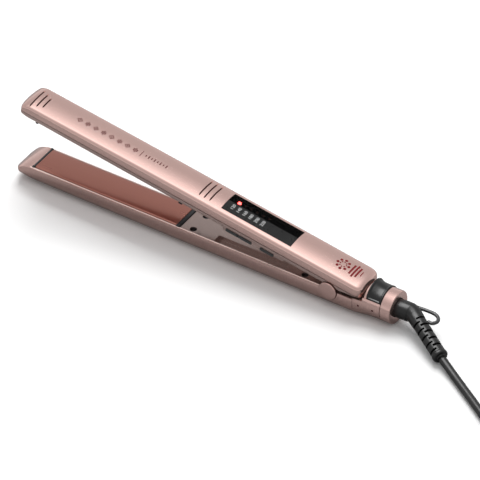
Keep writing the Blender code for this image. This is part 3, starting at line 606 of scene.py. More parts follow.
# How bright the studio is, from the horizon (0) to overhead (1).
SKY = (
    (0, 0.42),
    (0.15, 0.39),
    (0.4, 0.31),
    (0.62, 0.31),
    (0.72, 0.34),
    (0.8, 0.39),
    (0.88, 0.5),
    (0.95, 0.72),
    (1, 1),
)
GLOSS_STRENGTH = 1.8  # of that studio as gloss mirrors it
MATT_STRENGTH = 1.5  # and as it lights matt surfaces
FLOOR_RADIUS = 12.0
FLOOR_TONE = 0.9
FLOOR_IN_GLOSS = 0.3


def light_path_mix(tree, ray, plain, special):
    """A shader that is plain, and special for one kind of ray only."""
    mix = add_node(tree, "MixShader", Fac=add_node(tree, "LightPath").outputs[ray])
    tree.links.new(plain.outputs[0], mix.inputs[1])
    tree.links.new(special.outputs[0], mix.inputs[2])
    return mix


def direction(azimuth, elevation):
    """The way from the object to a lamp or the camera. Azimuth 0 is the button side, 90 the cord's end."""
    a, e = math.radians(azimuth), math.radians(elevation)
    return Vector((math.sin(a) * math.cos(e), -math.cos(a) * math.cos(e), math.sin(e)))


def studio_world():
    """A pale studio: an even wall, with a broad bright ceiling overhead."""
    world = bpy.data.worlds.new("studio")
    world.use_nodes = True
    bpy.context.scene.world = world
    tree = world.node_tree
    tree.nodes.clear()
    parts = add_node(tree, "SeparateXYZ", Vector=add_node(tree, "TexCoord").outputs["Generated"])
    sky = add_node(tree, "ValToRGB", Fac=parts.outputs["Z"])
    stops = sky.color_ramp.elements
    stops[0].position = SKY[0][0]
    stops[1].position = SKY[-1][0]
    for height, _ in SKY[1:-1]:
        stops.new(height)
    for stop, (_, value) in zip(stops, SKY):
        stop.color = (value, value, value, 1)
    colour = sky.outputs["Color"]
    for_gloss = add_node(tree, "Background", Color=colour, Strength=GLOSS_STRENGTH)
    for_matt = add_node(tree, "Background", Color=colour, Strength=MATT_STRENGTH)
    backdrop = add_node(tree, "Background", Color=(1, 1, 1, 1))
    studio = light_path_mix(tree, "Is Diffuse Ray", for_gloss, for_matt)
    seen = light_path_mix(tree, "Is Camera Ray", studio, backdrop)
    add_node(tree, "OutputWorld", Surface=seen.outputs[0])


def studio_floor():
    """A pale floor. In the object's gloss it is a mid grey, as a matt table is."""
    bm = bmesh.new()
    bmesh.ops.create_circle(bm, cap_ends=True, radius=FLOOR_RADIUS, segments=64)
    floor = linked("floor", mesh_from("floor", bm))
    floor.location.z = -0.0002
    material = bpy.data.materials.new("floor")
    material.use_nodes = True
    tree = material.node_tree
    tree.nodes.clear()
    tones = (FLOOR_TONE, FLOOR_IN_GLOSS)
    pale, dim = [add_node(tree, "BsdfDiffuse", Color=(tone, tone, tone, 1)) for tone in tones]
    mix = light_path_mix(tree, "Is Glossy Ray", pale, dim)
    add_node(tree, "OutputMaterial", Surface=mix.outputs[0])
    floor.data.materials.append(material)


def softbox(name, azimuth, elevation, distance, size, power, mirrored=False):
    """A square lamp aimed at the object. It lights matt surfaces, and gloss shows it only if mirrored."""
    data = bpy.data.lights.new(name, "AREA")
    data.size = size
    data.energy = power
    lamp = linked(name, data)
    out = direction(azimuth, elevation)
    lamp.location = out * distance
    lamp.rotation_mode = "QUATERNION"
    lamp.rotation_quaternion = out.to_track_quat("Z", "Y")
    lamp.visible_glossy = mirrored
    return lamp


def strip_light(*names):
    """A strip lamp that only these looks mirror, so that the dark pieces shine as the paint does."""
    lamp = softbox("strip", azimuth=262, elevation=66, distance=2.4, size=1.9, power=62, mirrored=True)
    looks = [LOOKS[name] for name in names]
    pieces = bpy.data.collections.new("dark_pieces")
    for obj in bpy.context.scene.objects:
        if obj.type == "MESH" and obj.active_material in looks:
            pieces.objects.link(obj)
    lamp.light_linking.receiver_collection = pieces


def camera():
    data = bpy.data.cameras.new("camera")
    data.lens = CAMERA_LENS
    data.sensor_width = 36
    data.clip_end = 50
    back = direction(CAMERA_AZIMUTH, CAMERA_ELEVATION)
    obj = linked("camera", data)
    obj.location = LOWER @ Vector((CAMERA_TARGET_X, 0, 0)) + back * CAMERA_DISTANCE
    obj.rotation_mode = "QUATERNION"
    roll = Matrix.Rotation(math.radians(CAMERA_ROLL), 4, "Z").to_quaternion()
    obj.rotation_quaternion = (-back).to_track_quat("-Z", "Y") @ roll
    bpy.context.scene.camera = obj


def stage():
    bpy.context.scene.view_settings.view_transform = "Standard"
    studio_world()
    studio_floor()
    softbox("key", azimuth=200, elevation=58, distance=2.4, size=1.5, power=53)


# ---- the cord, its strap and its plug ----


def coil_route():
    """The coil's turns: each layer winds in or out, and the next lies on it."""
    steps_a_turn = 16
    turns = COIL_LAYERS * COIL_TURNS_A_LAYER
    count = round(turns * steps_a_turn)
    points = []
    for k in range(count + 1):
        turned_by = k / steps_a_turn
        layer = min(int(turned_by / COIL_TURNS_A_LAYER), COIL_LAYERS - 1)
        share = turned_by / COIL_TURNS_A_LAYER - layer
        inward = share if layer % 2 == 0 else 1 - share
        radius = COIL_WIDEST + (COIL_TIGHTEST - COIL_WIDEST) * inward
        climb = max(0.0, (share - 0.9) / 0.1) if layer < COIL_LAYERS - 1 else 0.0
        z = COIL_FIRST_Z + CORD_DIAMETER * (layer + climb**2 * (3 - 2 * climb))
        turn = 2 * math.pi * (turned_by - 0.25)
        x, y = COIL_CENTRE
        points.append((x + radius * math.cos(turn), y + radius * math.sin(turn), z))
    return points


def cord():
    route = CORD_LEAD_IN + CORD_TO_COIL + coil_route() + CORD_FROM_COIL + CORD_LEAD_OUT
    path = smooth_path(route, CORD_STEP)
    length = sum((q - p).length for p, q in zip(path, path[1:]))
    mesh = mesh_from("cord", sweep(path, CORD_DIAMETER / 2, 12))
    mesh.materials.append(LOOKS["cord_rubber"])
    mesh.shade_smooth()
    obj = linked("cord", mesh)
    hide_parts("cord_lead_in", "cord_coil", "cord_lead_out")
    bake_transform(obj)
    return obj, path, length


def cord_strap():
    """A rounded strap round one side of the coil, with a buckle bar on its top."""
    low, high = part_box("cord_tie")
    half_thick, corner = 0.00035, 0.0016
    inset = half_thick + corner
    left, right = low.x + inset, high.x - inset
    bottom, top = low.z + inset, high.z - inset
    y = (low.y + high.y) / 2
    outline = []
    for quarter, (x, z) in enumerate(((right, top), (left, top), (left, bottom), (right, bottom))):
        for turn in arc(90 * quarter, 90 * quarter + 90, 6):
            outline.append(Vector((x + corner * math.cos(turn), y, z + corner * math.sin(turn))))
    half_width = (high.y - low.y) / 2
    across = Vector((0, half_width, 0))
    section = ((1, 0.4), (0.93, 1), (-0.93, 1), (-1, 0.4), (-0.93, -1), (0.93, -1))
    rings = []
    for k, point in enumerate(outline):
        ahead = (outline[(k + 1) % len(outline)] - outline[k - 1]).normalized()
        out = ahead.cross(Vector((0, 1, 0))).normalized()
        rings.append([point + across * wide + out * half_thick * thick for wide, thick in section])
    strap = loft(rings, closed=True)
    middle, z = (left + right) / 2, top + corner
    bar_low = (middle - 0.004, y - half_width * 1.05, z - 0.0002)
    bar_high = (middle + 0.004, y + half_width * 1.05, z + 0.0009)
    shape = joined(strap, block(bar_low, bar_high, 0.0004))
    return piece("cord_strap", shape, ROW, "black_plastic", ["cord_tie"])


def plug():
    """A flat two-pin plug: a waisted grip with finger ribs, a flex sleeve and sleeved pins."""
    low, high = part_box("plug_body")
    y, z = (low.y + high.y) / 2, (low.z + high.z) / 2
    wide, tall = (high.y - low.y) / 2, (high.z - low.z) / 2
    front, rear = low.x, high.x
    # Each section's place from the rear or the front, half its width and half its height, in millimetres.
    neck = [(0, 4.0, 4.0), (2, 4.3, 4.2), (8, 4.8, 4.6), (12, 5.4, 5.2), (13.5, 6.8, 5.8), (15, 9.0, 6.3)]
    grip = [(18, 11.0, 6.6), (22, 12.5, 6.8), (28, 14.2, 6.7), (34, 15.6, 6.8)]
    face = [(6, 16.7, 6.8), (2, 17.0, 6.8), (0.6, 16.8, 6.6), (0, 16.2, 6.0)]
    sections = [(rear - along * MM, *half) for along, *half in neck + grip]
    sections += [(front + along * MM, *half) for along, *half in face]
    rings = []
    for x, half_width, half_tall in sections:
        power = 0.5 if half_width > 8 else 0.75 if half_width > 6 else 1.0
        ring = []
        for turn in circle(48):
            across, up = powered(math.cos(turn), power), powered(math.sin(turn), power)
            ring.append((x, y + across * min(half_width * MM, wide), z + up * min(half_tall * MM, tall)))
        rings.append(ring)
    ribs = []
    for k in range(4):
        x = front + 0.012 + 0.004 * k
        for side in SIDES:
            rib = block((x - 0.0006, y - 0.009, -0.0004), (x + 0.0006, y + 0.009, 0.0004), 0.0003)
            bmesh.ops.translate(rib, vec=(0, 0, z + side * (tall - 0.0004)), verts=rib.verts)
            ribs.append(rib)
    made = [piece("plug_grip", joined(loft(rings), *ribs), ROW, "cord_rubber", ["plug_body"])]
    tip_length = 0.0012
    for number in (1, 2):
        node = f"plug_pin_{number}"
        low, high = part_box(node)
        radius = (high.y - low.y) / 2
        centre = (0, (low.y + high.y) / 2, (low.z + high.z) / 2)
        profile = [(high.x, radius), (low.x + tip_length, radius)]
        for t in (0.4, 0.8, 1.2, 1.57):
            profile.append((low.x + tip_length * (1 - math.sin(t)), radius * (0.45 + 0.55 * math.cos(t))))
        made.append(piece(f"{node}_metal", turned(profile, "x", centre, 32), ROW, "brass", [node]))
        profile = [(high.x, radius * 0.99), (high.x - 0.009, radius * 1.04), (high.x - 0.0095, radius)]
        made.append(piece(f"{node}_sleeve", turned(profile, "x", centre, 32), ROW, "cord_rubber"))
    return made


# ---- the arms' sections ----


def powered(value, power):
    """The value to this power, with its sign kept."""
    return math.copysign(abs(value) ** power, value)


def fall(share, power):
    """How much of the full size is left this share of the way into a rounded end."""
    return (1 - min(share, 1) ** power) ** (1 / power)


def within(share):
    return max(0.0, min(1.0, share))


def both_sides(x, half):
    """A ring at x: these (y, z) places, then their mirror images on the other side."""
    return [(x, y, z) for y, z in half] + [(x, -y, z) for y, z in reversed(half)]


def nose(x, shape):
    """How much of the full size is left at x of a nose with this length and power."""
    length, power = shape
    return fall(0.985 * max(0.0, (TIP_X + length - x) / length), power)


def tail_share(x):
    return 0.975 * max(0.0, (x - TAIL_X + TAIL_LENGTH) / TAIL_LENGTH)


def taper_share(x):
    return within((TAPER_START_X - x) / (TAPER_START_X - TAPER_END_X))


def barrel_share(x):
    """How far the lower shell's section has gone from the arm's shape to the round barrel's."""
    return within((x - BARREL_START_X) / BARREL_BLEND_LENGTH)


def half_width(x, plan=UPPER_PLAN):
    return HALF_WIDTH * nose(x, plan) * fall(tail_share(x), TAIL_POWER)


def crown_z(x):
    full = CROWN_Z - FRONT_DROP * taper_share(x) ** 1.5
    return SEAM_Z + (full - SEAM_Z) * nose(x, UPPER_RISE) * fall(tail_share(x), TAIL_RISE_POWER)


def dome_z(x, y):
    """The height of the upper arm's top at this place."""
    sag = DOME_RADIUS - math.sqrt(DOME_RADIUS**2 - y**2)
    return crown_z(x) - sag * (crown_z(x) - SEAM_Z) / (CROWN_Z - SEAM_Z)


def arch():
    """The upper arm's section at full size, as (y, z) from the +y rim to the -y one."""
    across = HALF_WIDTH - SHOULDER_RADIUS
    edge = math.asin(across / (DOME_RADIUS - SHOULDER_RADIUS))
    dome_centre = CROWN_Z - DOME_RADIUS
    height = dome_centre + (DOME_RADIUS - SHOULDER_RADIUS) * math.cos(edge)
    half = [(HALF_WIDTH - 0.35, SEAM_Z), (HALF_WIDTH - 0.08, SEAM_Z + 0.12), (HALF_WIDTH, SEAM_Z + 0.4)]
    half.append((HALF_WIDTH, SEAM_Z + 2.2))
    for tilt in spread(math.pi / 2, edge, 12):
        half.append((across + SHOULDER_RADIUS * math.sin(tilt), height + SHOULDER_RADIUS * math.cos(tilt)))
    for tilt in even(edge, 0, 10):
        half.append((DOME_RADIUS * math.sin(tilt), dome_centre + DOME_RADIUS * math.cos(tilt)))
    return [*half, (0, CROWN_Z), *[(-y, z) for y, z in reversed(half)]]


def upper_ring(x):
    wide = half_width(x) / HALF_WIDTH
    tall = (crown_z(x) - SEAM_Z) / (CROWN_Z - SEAM_Z)
    return [(x, wide * y, SEAM_Z + tall * (z - SEAM_Z)) for y, z in arch()]


def lower_ring(x, inset=0.0, steps=56):
    """The lower shell's section. With an inset it is the hollow's, which runs out through the rim."""
    left = nose(x, LOWER_RISE)
    top = NOSE_LOWER_Z + (LOWER_RIM - NOSE_LOWER_Z) * left
    low = NOSE_LOWER_Z + (FLOOR_Z + TIP_RISE * taper_share(x) - NOSE_LOWER_Z) * left
    barrel = barrel_share(x)
    wide = half_width(min(x, 0), LOWER_PLAN) * (1 - barrel) + BARREL_RADIUS * barrel - inset
    power = BELLY_POWER * (1 - barrel) + 2 * barrel
    waist = min(BARREL_Z, top - 1)
    deep = (waist - low) * (1 + BELLY_EXCESS * (1 - barrel)) - inset
    rim = [(wide, top + 5)] if inset else [(wide - 0.5, top), (wide - 0.12, top - 0.14), (wide, top - 0.5)]
    belly = []
    for turn in arc(0, 180, steps):
        down = waist - deep * math.sin(turn) ** (2 / power)
        belly.append((x, wide * powered(math.cos(turn), 2 / power), max(down, low + inset)))
    return [(x, y, z) for y, z in rim] + belly + [(x, -y, z) for y, z in reversed(rim)]


def eased(start, end, steps):
    """Places that crowd towards the end, as a rounded end needs."""
    return [start + (end - start) * math.sin(math.pi / 2 * k / steps) for k in range(steps + 1)]


def even(start, end, steps):
    """Even steps between start and end, without the ends."""
    return spread(start, end, steps)[1:-1]


def screw_places(stations):
    return [(x, s * SCREW_Y, 0) for x in stations for s in SIDES]


def knuckle(side, inner, outer):
    """A disc about the hinge's axis, between these distances from the middle, with its edges cut off."""
    small, full = KNUCKLE_RADIUS - 0.3, KNUCKLE_RADIUS
    profile = [(inner, small), (inner + 0.3, full), (outer - 0.3, full), (outer, small)]
    return turned([(side * y, radius) for y, radius in profile], "y", steps=48)


NOSE = list(reversed(eased(TIP_X + NOSE_LENGTH, TIP_X, 40)))
TAIL = eased(TAIL_X - TAIL_LENGTH, TAIL_X, 16)


# ---- the upper arm ----


def groove_path(start, end, x, sink):
    return [Vector((x, y, dome_z(x, y) - sink)) for y in spread(start, end, 24)]


def upper_groove(x, start, end):
    """A narrow groove across the dome, with round ends."""
    ends = [0.3, 0.75, 0.95]
    radii = [GROOVE_HALF_WIDTH * e for e in (*ends, *[1.0] * 19, *reversed(ends))]
    return sweep(groove_path(start, end, x, 0.1), radii, 16, (GROOVE_DEPTH - 0.1) / GROOVE_HALF_WIDTH)


def groove_shade_strip(x, start, end):
    """A dark strip along a groove's floor: painted shade in the groove."""
    return sweep(groove_path(start + 0.35, end - 0.35, x + 0.12, GROOVE_DEPTH - 0.05), 0.42, 10)


def panel_slab(start, end, y_low, y_high, bottom, sink, steps=24):
    """A slab whose top follows the dome at this depth below it."""
    middle = (start + end) / 2
    rings = []
    for y in spread(y_low, y_high, steps):
        top = dome_z(middle, y) - sink
        rings.append([(start, y, bottom), (end, y, bottom), (end, y, top), (start, y, top)])
    return loft(rings)


def upper_shell():
    stations = [*NOSE, *even(NOSE[-1], TAIL[0], 26), *TAIL]
    shell = loft([upper_ring(x) for x in stations])
    places = MID_GROOVES | FRONT_GROOVES
    grooves = [upper_groove(x, *ends) for x, ends in places.items()]
    # Dark strips along the grooves' floors: painted shade.
    shade_strips = joined(*[groove_shade_strip(x, *ends) for x, ends in places.items()])
    piece("groove_shade_strips", shade_strips, UPPER, "groove_shade")
    low, high = WINDOW
    side = PANEL_HALF_WIDTH + PANEL_GAP
    window = block((low.x - PANEL_GAP, -side, PANEL_BAY_Z), (high.x + PANEL_GAP, side, OUTSIDE))
    shell = carved(shell, *grooves, window)
    piece("upper_shell_skin", shell, UPPER, "shell_paint", ["upper_shell"], smooth=42)


def tray_ring(x):
    """The inner tray's outline: upright sides and rounded lower edges."""
    wide = half_width(x) - 0.05
    top = SEAM_Z - GAP
    rim = top - (top - UPPER_RIM) * nose(x, UPPER_RISE)
    rim += TRAY_REAR_LIFT * within((x - REAR_X) / TRAY_LIFT_LENGTH)
    round_by = min(1.0, (top - rim) * 0.45)
    half = [(wide, top), (wide, rim + round_by)]
    for turn in arc(0, 90, 4)[1:]:
        half.append((wide - round_by * (1 - math.cos(turn)), rim + round_by * (1 - math.sin(turn))))
    return both_sides(x, half)


def button_housing():
    """The bulge on the tray's near side that holds the buttons."""
    start = extent("button_plus", UPPER)[0].x - 3.3
    end = extent("button_power", UPPER)[1].x + 9.0
    middle = (start + end) / 2
    outline = [(start, UPPER_RIM + 1.6), (start + 0.3, 3.0), (start + 1.4, 1.9), (start + 2.6, 1.72)]
    outline += [(end - 2.4, 3.0), (end - 0.9, 3.25), (end, UPPER_RIM + 0.2), (end + 0.6, UPPER_RIM + 1.6)]
    near = -HALF_WIDTH + 0.02
    rings = []
    for y, shrink in ((near, 0.45), (near + 0.12, 0.14), (near + 0.5, 0.0), (near + 7.3, 0.0)):
        ring = []
        for x, z in outline:
            inward = shrink if x < middle else -shrink
            ring.append((x + inward, y, z + (shrink if z < UPPER_RIM + 1 else 0)))
        rings.append(ring)
    return loft(rings)


def button_pockets():
    """A pocket for each group of buttons."""
    room = 0.25
    pockets = []
    for first, last in (("button_plus", "button_minus"), ("button_power", "button_power")):
        low, high = extent(first, UPPER)[0], extent(last, UPPER)[1]
        outer = (low.x - room, -HALF_WIDTH - 3, low.z - room)
        pockets.append(block(outer, (high.x + room, -HALF_WIDTH + 3.7, high.z + room), 0.5))
    return pockets


def upper_tray():
    stations = [*NOSE, *even(NOSE[-1], REAR_X, 14), REAR_X, *even(REAR_X, TAIL[0], 4), *TAIL[:-1]]
    tray = loft([tray_ring(x) for x in (*stations, TAIL_X - 0.2)])
    low, high = extent("upper_plate_holder", UPPER)
    side = HALF_WIDTH - WALL
    bay = block((low.x - GAP, -side, 0), (high.x + GAP, side, OUTSIDE))
    wells = [rod("z", -5, SEAM_Z - 1, SCREW_WELL, place) for place in screw_places(SCREW_X_UPPER)]
    tray = carved(tray, bay, *wells)
    inner, outer = LUG_SPAN
    lugs = []
    for s in SIDES:
        lugs.append(knuckle(s, inner, outer))
        lugs.append(block((-4.0, s * inner, 0), (4.0, s * outer, UPPER_RIM + 1), 0.2))
    housing = carved(button_housing(), *button_pockets())
    # The tray's darker rose paint is painted shade.
    piece("upper_tray_skin", joined(tray, housing, *lugs), UPPER, "inner_paint", ["upper_tray"])


def numeral(text, x, y, size):
    """A printed number on the scale panel, read from the near side towards the far one."""
    curve = bpy.data.curves.new(f"number_{text}", "FONT")
    curve.body = text
    curve.size = size
    curve.align_x = "CENTER"
    curve.align_y = "CENTER"
    curve.extrude = 0.04
    curve.resolution_u = 3
    obj = linked(curve.name, curve)
    bm = shape_of(obj)
    bpy.data.objects.remove(obj)
    bmesh.ops.rotate(bm, cent=(0, 0, 0), matrix=Matrix.Rotation(math.pi / 2, 3, "Z"), verts=bm.verts)
    for vert in bm.verts:
        across = y + vert.co.y
        vert.co = Vector((x + vert.co.x, across, dome_z(x, across) - PANEL_SINK + 0.03 + vert.co.z))
    return bm


def round_lamp(lamp, margin, bottom, top, bevel):
    """A block that is wider than the lamp's lens by this margin on each side."""
    low, high = lamp
    return block((low.x - margin, low.y - margin, bottom), (high.x + margin, high.y + margin, top), bevel)


def control_panel():
    """The smoked window over the lamps, the grey scale strip beside it, and the mask that parts the lamps."""
    low, high = WINDOW
    side, split = PANEL_HALF_WIDTH, PANEL_SPLIT_Y
    far = panel_slab(low.x, high.x, split + 0.06, side, low.z, PANEL_SINK)
    near = panel_slab(low.x, high.x, -side, split - 0.06, low.z, PANEL_SINK)
    piece("window_glass", far, UPPER, "window", ["display_window"], bevel=0.15)
    piece("scale_strip", near, UPPER, "panel_grey", ["scale_panel"], bevel=0.15)

    lamps = [extent(f"lamp_{number}", UPPER) for number in range(1, 7)]
    lamp_z = lamps[0][0].z
    mask = block((low.x - 0.1, split - 1.5, lamp_z - 0.15), (high.x + 0.1, side + 0.1, low.z - 0.1))
    rims = [LIT_LAMP_RIM] + [LAMP_RIM] * 5
    holes = [round_lamp(lamp, rim, 0, OUTSIDE, rim + 0.25) for lamp, rim in zip(lamps, rims)]
    halo = round_lamp(lamps[0], 1.0, lamp_z, lamp_z + 0.2, 0.09)
    piece("lamp_1_halo", halo, UPPER, "lamp_halo")
    piece("lamp_mask", carved(mask, *holes), UPPER, "mask", smooth=30)
    for number, (low, high) in enumerate(lamps, 1):
        lens = block(low, high, 0.35)
        look = "lit_lamp" if number == 1 else "lamp"
        piece(f"lamp_{number}_lens", lens, UPPER, look, [f"lamp_{number}"])
        text = numeral(str(100 + 20 * number), (low.x + high.x) / 2, NUMERAL_Y, NUMERAL_SIZE)
        piece(f"scale_number_{number}", text, UPPER, "print_white")


def buttons():
    """Dished key caps with soft edges."""
    for name in ("button_plus", "button_minus", "button_power"):
        low, high = extent(name, UPPER)
        cap = block(low, high, 0.32, 4)
        dish_x, dish_z = (low.x + high.x) / 2, (low.z + high.z) / 2
        reach = (high.x - low.x) / 2
        bmesh.ops.subdivide_edges(cap, edges=cap.edges, cuts=2, use_grid_fill=True)
        for vert in cap.verts:
            if vert.co.y < low.y + 0.05:
                away = ((vert.co.x - dish_x) / reach) ** 2 + ((vert.co.z - dish_z) / 1.2) ** 2
                vert.co.y += 0.18 * max(0, 1 - away)
        piece(f"{name}_cap", cap, UPPER, "button_grey", [name], body=name)


def ornaments():
    """Plain prints on the upper arm: diamonds and bars in front, and a rosette over bars at the tail."""

    def on_dome(bm):
        for vert in bm.verts:
            vert.co.z += dome_z(vert.co.x, vert.co.y) - PRINT_SINK
        marks.append(bm)

    def bar(x, y, half, reach):
        bm = block((x - half, y - reach, 0), (x + half, y + reach, PRINT_DEPTH))
        long_edges = [e for e in bm.edges if abs(e.verts[0].co.y - e.verts[1].co.y) > reach]
        cuts = 2 * max(1, round(reach))
        bmesh.ops.subdivide_edges(bm, edges=long_edges, cuts=cuts, use_grid_fill=True)
        on_dome(bm)

    def dot(x, y, radius, steps):
        on_dome(rod("z", 0, PRINT_DEPTH, radius, (x, y, 0), steps))

    marks = []
    y = -1.4
    diamond = [(0, 2.3), (PRINT_DEPTH, 2.3), (PRINT_DEPTH, 1.5), (0, 1.5)]
    for k in range(8):
        x = -225.0 + 6.9 * k
        if k % 2 == 0:
            on_dome(turned(diamond, "z", (x, y, 0), 4, closed=True))
            dot(x, y, 0.6, 12)
        else:
            for shift, reach in ((-1.3, 1.3), (0.0, 2.3), (1.3, 1.3)):
                bar(x + shift, y, 0.42, reach)
    bar(-171.3, y, 0.25, 3.0)
    for k in range(8):
        bar(-167.4 + 2.5 * k, y, 0.4, 1.5 if k % 2 else 0.9)
    piece("front_ornament", joined(*marks), UPPER, "print_rose")
    marks = []
    x, y = 1.5, -0.3
    for turn in circle(8):
        for radius, size in ((4.6, 1.15), (2.5, 0.6)):
            dot(x + radius * math.cos(turn), y + radius * math.sin(turn), size, 16)
    for x, reach, half in ((9.3, 5.2, 0.75), (11.9, 6.6, 0.75), (14.5, 5.2, 0.75), (17.2, 2.6, 0.35)):
        bar(x, y, half, reach)
    piece("tail_ornament", joined(*marks), UPPER, "print_red")


# ---- the lower arm ----


def lower_shell():
    front = extent("lower_plate_holder")[0].x - GAP
    rear = LOWER_SHELL[1].x
    along = [*even(NOSE[-1], REAR_X, 20), REAR_X, *even(REAR_X, rear, 14)]
    shell = loft([lower_ring(x) for x in (*NOSE, *along, rear)])
    hollow = loft([lower_ring(x, WALL) for x in (front, *[x for x in along if x > front], RING[1].x)])
    bay_low = (REAR_COVER[0].x - 0.25, -OUTSIDE, BARREL_SEAM_Z - 0.1)
    shell = carved(shell, hollow, block(bay_low, (RING[1].x, OUTSIDE, OUTSIDE)))
    piece("lower_shell_skin", shell, LOWER, "shell_paint", ["lower_shell"], smooth=42)


def rim_lip():
    """The thin lip along the top edge of the lower shell, on each side, with a sloping top. Its rose paint is
    lighter: a painted highlight.
    """
    edge = HALF_WIDTH - 0.75
    section = [(-0.75, -0.4), (-0.6, 0.34), (-0.45, 0.38), (0.33, 0.02), (0.35, -0.4)]
    places = [(edge + out, LOWER_RIM + up) for out, up in section]
    sides = [loft([[(x, s * y, z) for y, z in places] for x in LIP_ENDS_X]) for s in SIDES]
    piece("lower_rim_lip", joined(*sides), LOWER, "lip_highlight_paint", smooth=20)


def inner_cover():
    """The panel behind the plate: screw wells, and a pocket that clears the button housing. Its rose paint is
    darker: painted shade.
    """
    low, high = INNER_COVER
    top = LOWER_RIM
    base = top - COVER_THICKNESS
    panel = block((low.x, low.y, base), (high.x, high.y, top))
    front, rear = TUB_X
    tub = block((front, low.y, base - 3.4), (rear, TUB_Y, top - 0.3))
    panel = carved(panel, tub, operation="UNION")
    places = screw_places(SCREW_X_LOWER)
    wells = [rod("z", base - 0.8, 9, SCREW_WELL, place, 48) for place in places]
    recess_low = (front + TUB_WALL, low.y - 3, base - 2.0)
    recess = block(recess_low, (rear - TUB_WALL, TUB_Y - 1.4, OUTSIDE))
    lug_slot = block((-5.4, -9.3, -9), (5.4, 9.3, 9))
    panel = carved(panel, recess, lug_slot, *wells)
    ears = [knuckle(s, *EAR_SPAN) for s in SIDES]
    cup = [(base + 0.4, 3.2), (base - 3.0, 3.2), (base - 3.0, 1.5), (base - 2.0, 1.5)]
    cup += [(base - 2.0, SCREW_WELL), (base + 0.4, SCREW_WELL)]
    cups = [turned(cup, "z", place, 48, closed=True) for place in places]
    panel = joined(panel, *ears, *cups)
    replaced = ["lower_inner_cover"]
    piece("inner_cover_panel", panel, LOWER, "panel_shade_paint", replaced, bevel=0.2)


def plate_set(prefix, arm, up):
    """A plate with soft long edges, which faces up (1) or down (-1), and its holder's bars and clips."""
    plate, holder = f"{prefix}_plate", f"{prefix}_plate_holder"
    low, high = extent(plate, arm)
    back, face = (low.z, high.z) if up > 0 else (high.z, low.z)
    edge = [(0, 0.95), (0.08, 0.68), (0.3, 0.5), (1.4, 0.05), (1.6, 0.0)]  # inwards, and the drop there
    ends = [(low.x, 0.6), (low.x + 0.1, 0.3), (low.x + 0.35, 0.08), (low.x + 0.8, 0.0)]
    ends += [(high.x - 0.8, 0.0), (high.x - 0.35, 0.08), (high.x - 0.1, 0.3), (high.x, 0.6)]
    rings = []
    for x, drop in ends:
        half = [(high.y - inward, face - up * (d + drop)) for inward, d in edge]
        rings.append(both_sides(x, [(high.y, back), *half]))
    piece(f"{plate}_skin", loft(rings), arm, "plate_coating", [plate], body=plate)

    outer_low, outer_high = extent(holder, arm)
    top = outer_high.z if up > 0 else outer_low.z
    shelf = back - up * 1.6
    wide = outer_high.y
    bars = [block((outer_low.x, outer_low.y, shelf), (outer_high.x, wide, back - up * 3.4), 0.2)]
    for start, end in ((outer_low.x, low.x - 0.25), (high.x + 0.25, outer_high.x)):
        bars.append(block((start, outer_low.y, top), (end, wide, shelf), 0.45, 4))
        for s in SIDES:
            clip_top = (start - 0.15, s * (wide - 1.0), top + up * 0.35)
            bars.append(block(clip_top, (end + 0.15, s * (wide + 0.75), top - up * 1.9), 0.4, 4))
    piece(f"{holder}_bars", joined(*bars), arm, "black_plastic", [holder])


def hinge_caps():
    """Flat round covers with a turned edge, and a dark disc behind each that shows as the joint line round
    it: partly the joint's own dark, partly painted shade in the joint.
    """
    edge = 0.35
    for name, side in (("hinge_cap_near", -1), ("hinge_cap_far", 1)):
        low, high = extent(name)
        radius = (high.x - low.x) / 2
        inner, outer = [side * y for y in sorted((abs(low.y), abs(high.y)))]
        profile = [(inner, radius - 0.1), (inner + side * 0.1, radius)]
        for turn in arc(0, 90, 5):
            profile.append((outer - side * edge * (1 - math.sin(turn)), radius - edge * (1 - math.cos(turn))))
        profile.append((outer, radius * 0.5))
        piece(f"{name}_disc", turned(profile, "y", steps=96), LOWER, "shell_paint", [name])
        # A dark disc behind the cap: the joint's own dark line, and painted shade in the joint.
        joint_shade = rod("y", side * (HALF_WIDTH - 0.3), inner + side * 0.1, radius + 0.3, steps=96)
        piece(f"{name}_gap", joint_shade, LOWER, "groove_shade")


# ---- the round rear body ----


def arc_ring(x, radius, half_angle, steps, inner):
    """A band of a circle about the barrel's axis, as one closed outline at this x."""
    turns = arc(-half_angle, half_angle, steps)
    ring = [(x, radius(t) * math.sin(t), BARREL_Z + radius(t) * math.cos(t)) for t in turns]
    return ring + [(x, inner * math.sin(t), BARREL_Z + inner * math.cos(t)) for t in reversed(turns)]


def rear_cover():
    start, end = REAR_COVER[0].x, REAR_COVER[1].x
    rings = []
    for x in (start, *even(start, end, 16), end):
        lower = lower_ring(x)[3:-3]
        upper = [(x, y, 2 * BARREL_Z - z) for x, y, z in lower]
        rings.append(upper + lower[-2:0:-1])
    deck = block((0, -OUTSIDE, DECK_Z), (DECK_END_X, OUTSIDE, OUTSIDE))
    below = block((0, -OUTSIDE, -30), (RING[1].x, OUTSIDE, BARREL_SEAM_Z + 0.1))
    floor = BARREL_RADIUS - RECESS_DEPTH
    angle = SADDLE_HALF_ANGLE + 0.8
    recess = loft([arc_ring(x, lambda turn: OUTSIDE, angle, 48, floor) for x in (DECK_END_X - 1, RING[1].x)])
    cover = carved(loft(rings), deck, below, recess)
    piece("rear_cover_skin", cover, LOWER, "shell_paint", ["rear_top_cover"], bevel=0.18)


def end_ring():
    low, high = RING
    radius = BARREL_RADIUS
    bore = extent("swivel_spool")[1].x + 0.6
    mouth, wide = 7.35, 10.2
    profile = [(low.x, radius - 2.2), (low.x, radius - 0.25), (low.x + 0.25, radius)]
    profile += corner_arc(high.x - 1.0, radius - 1.0, 90, 0, 1.0, 8)
    profile += [(high.x, mouth + 0.5), (high.x - 0.15, mouth + 0.15), (high.x - 0.5, mouth)]
    profile += [(bore, mouth), (bore, wide), (low.x, wide)]
    ring = turned(profile, "x", (0, 0, BARREL_Z), 128, closed=True)
    piece("end_ring_skin", ring, LOWER, "shell_paint", ["end_ring"])


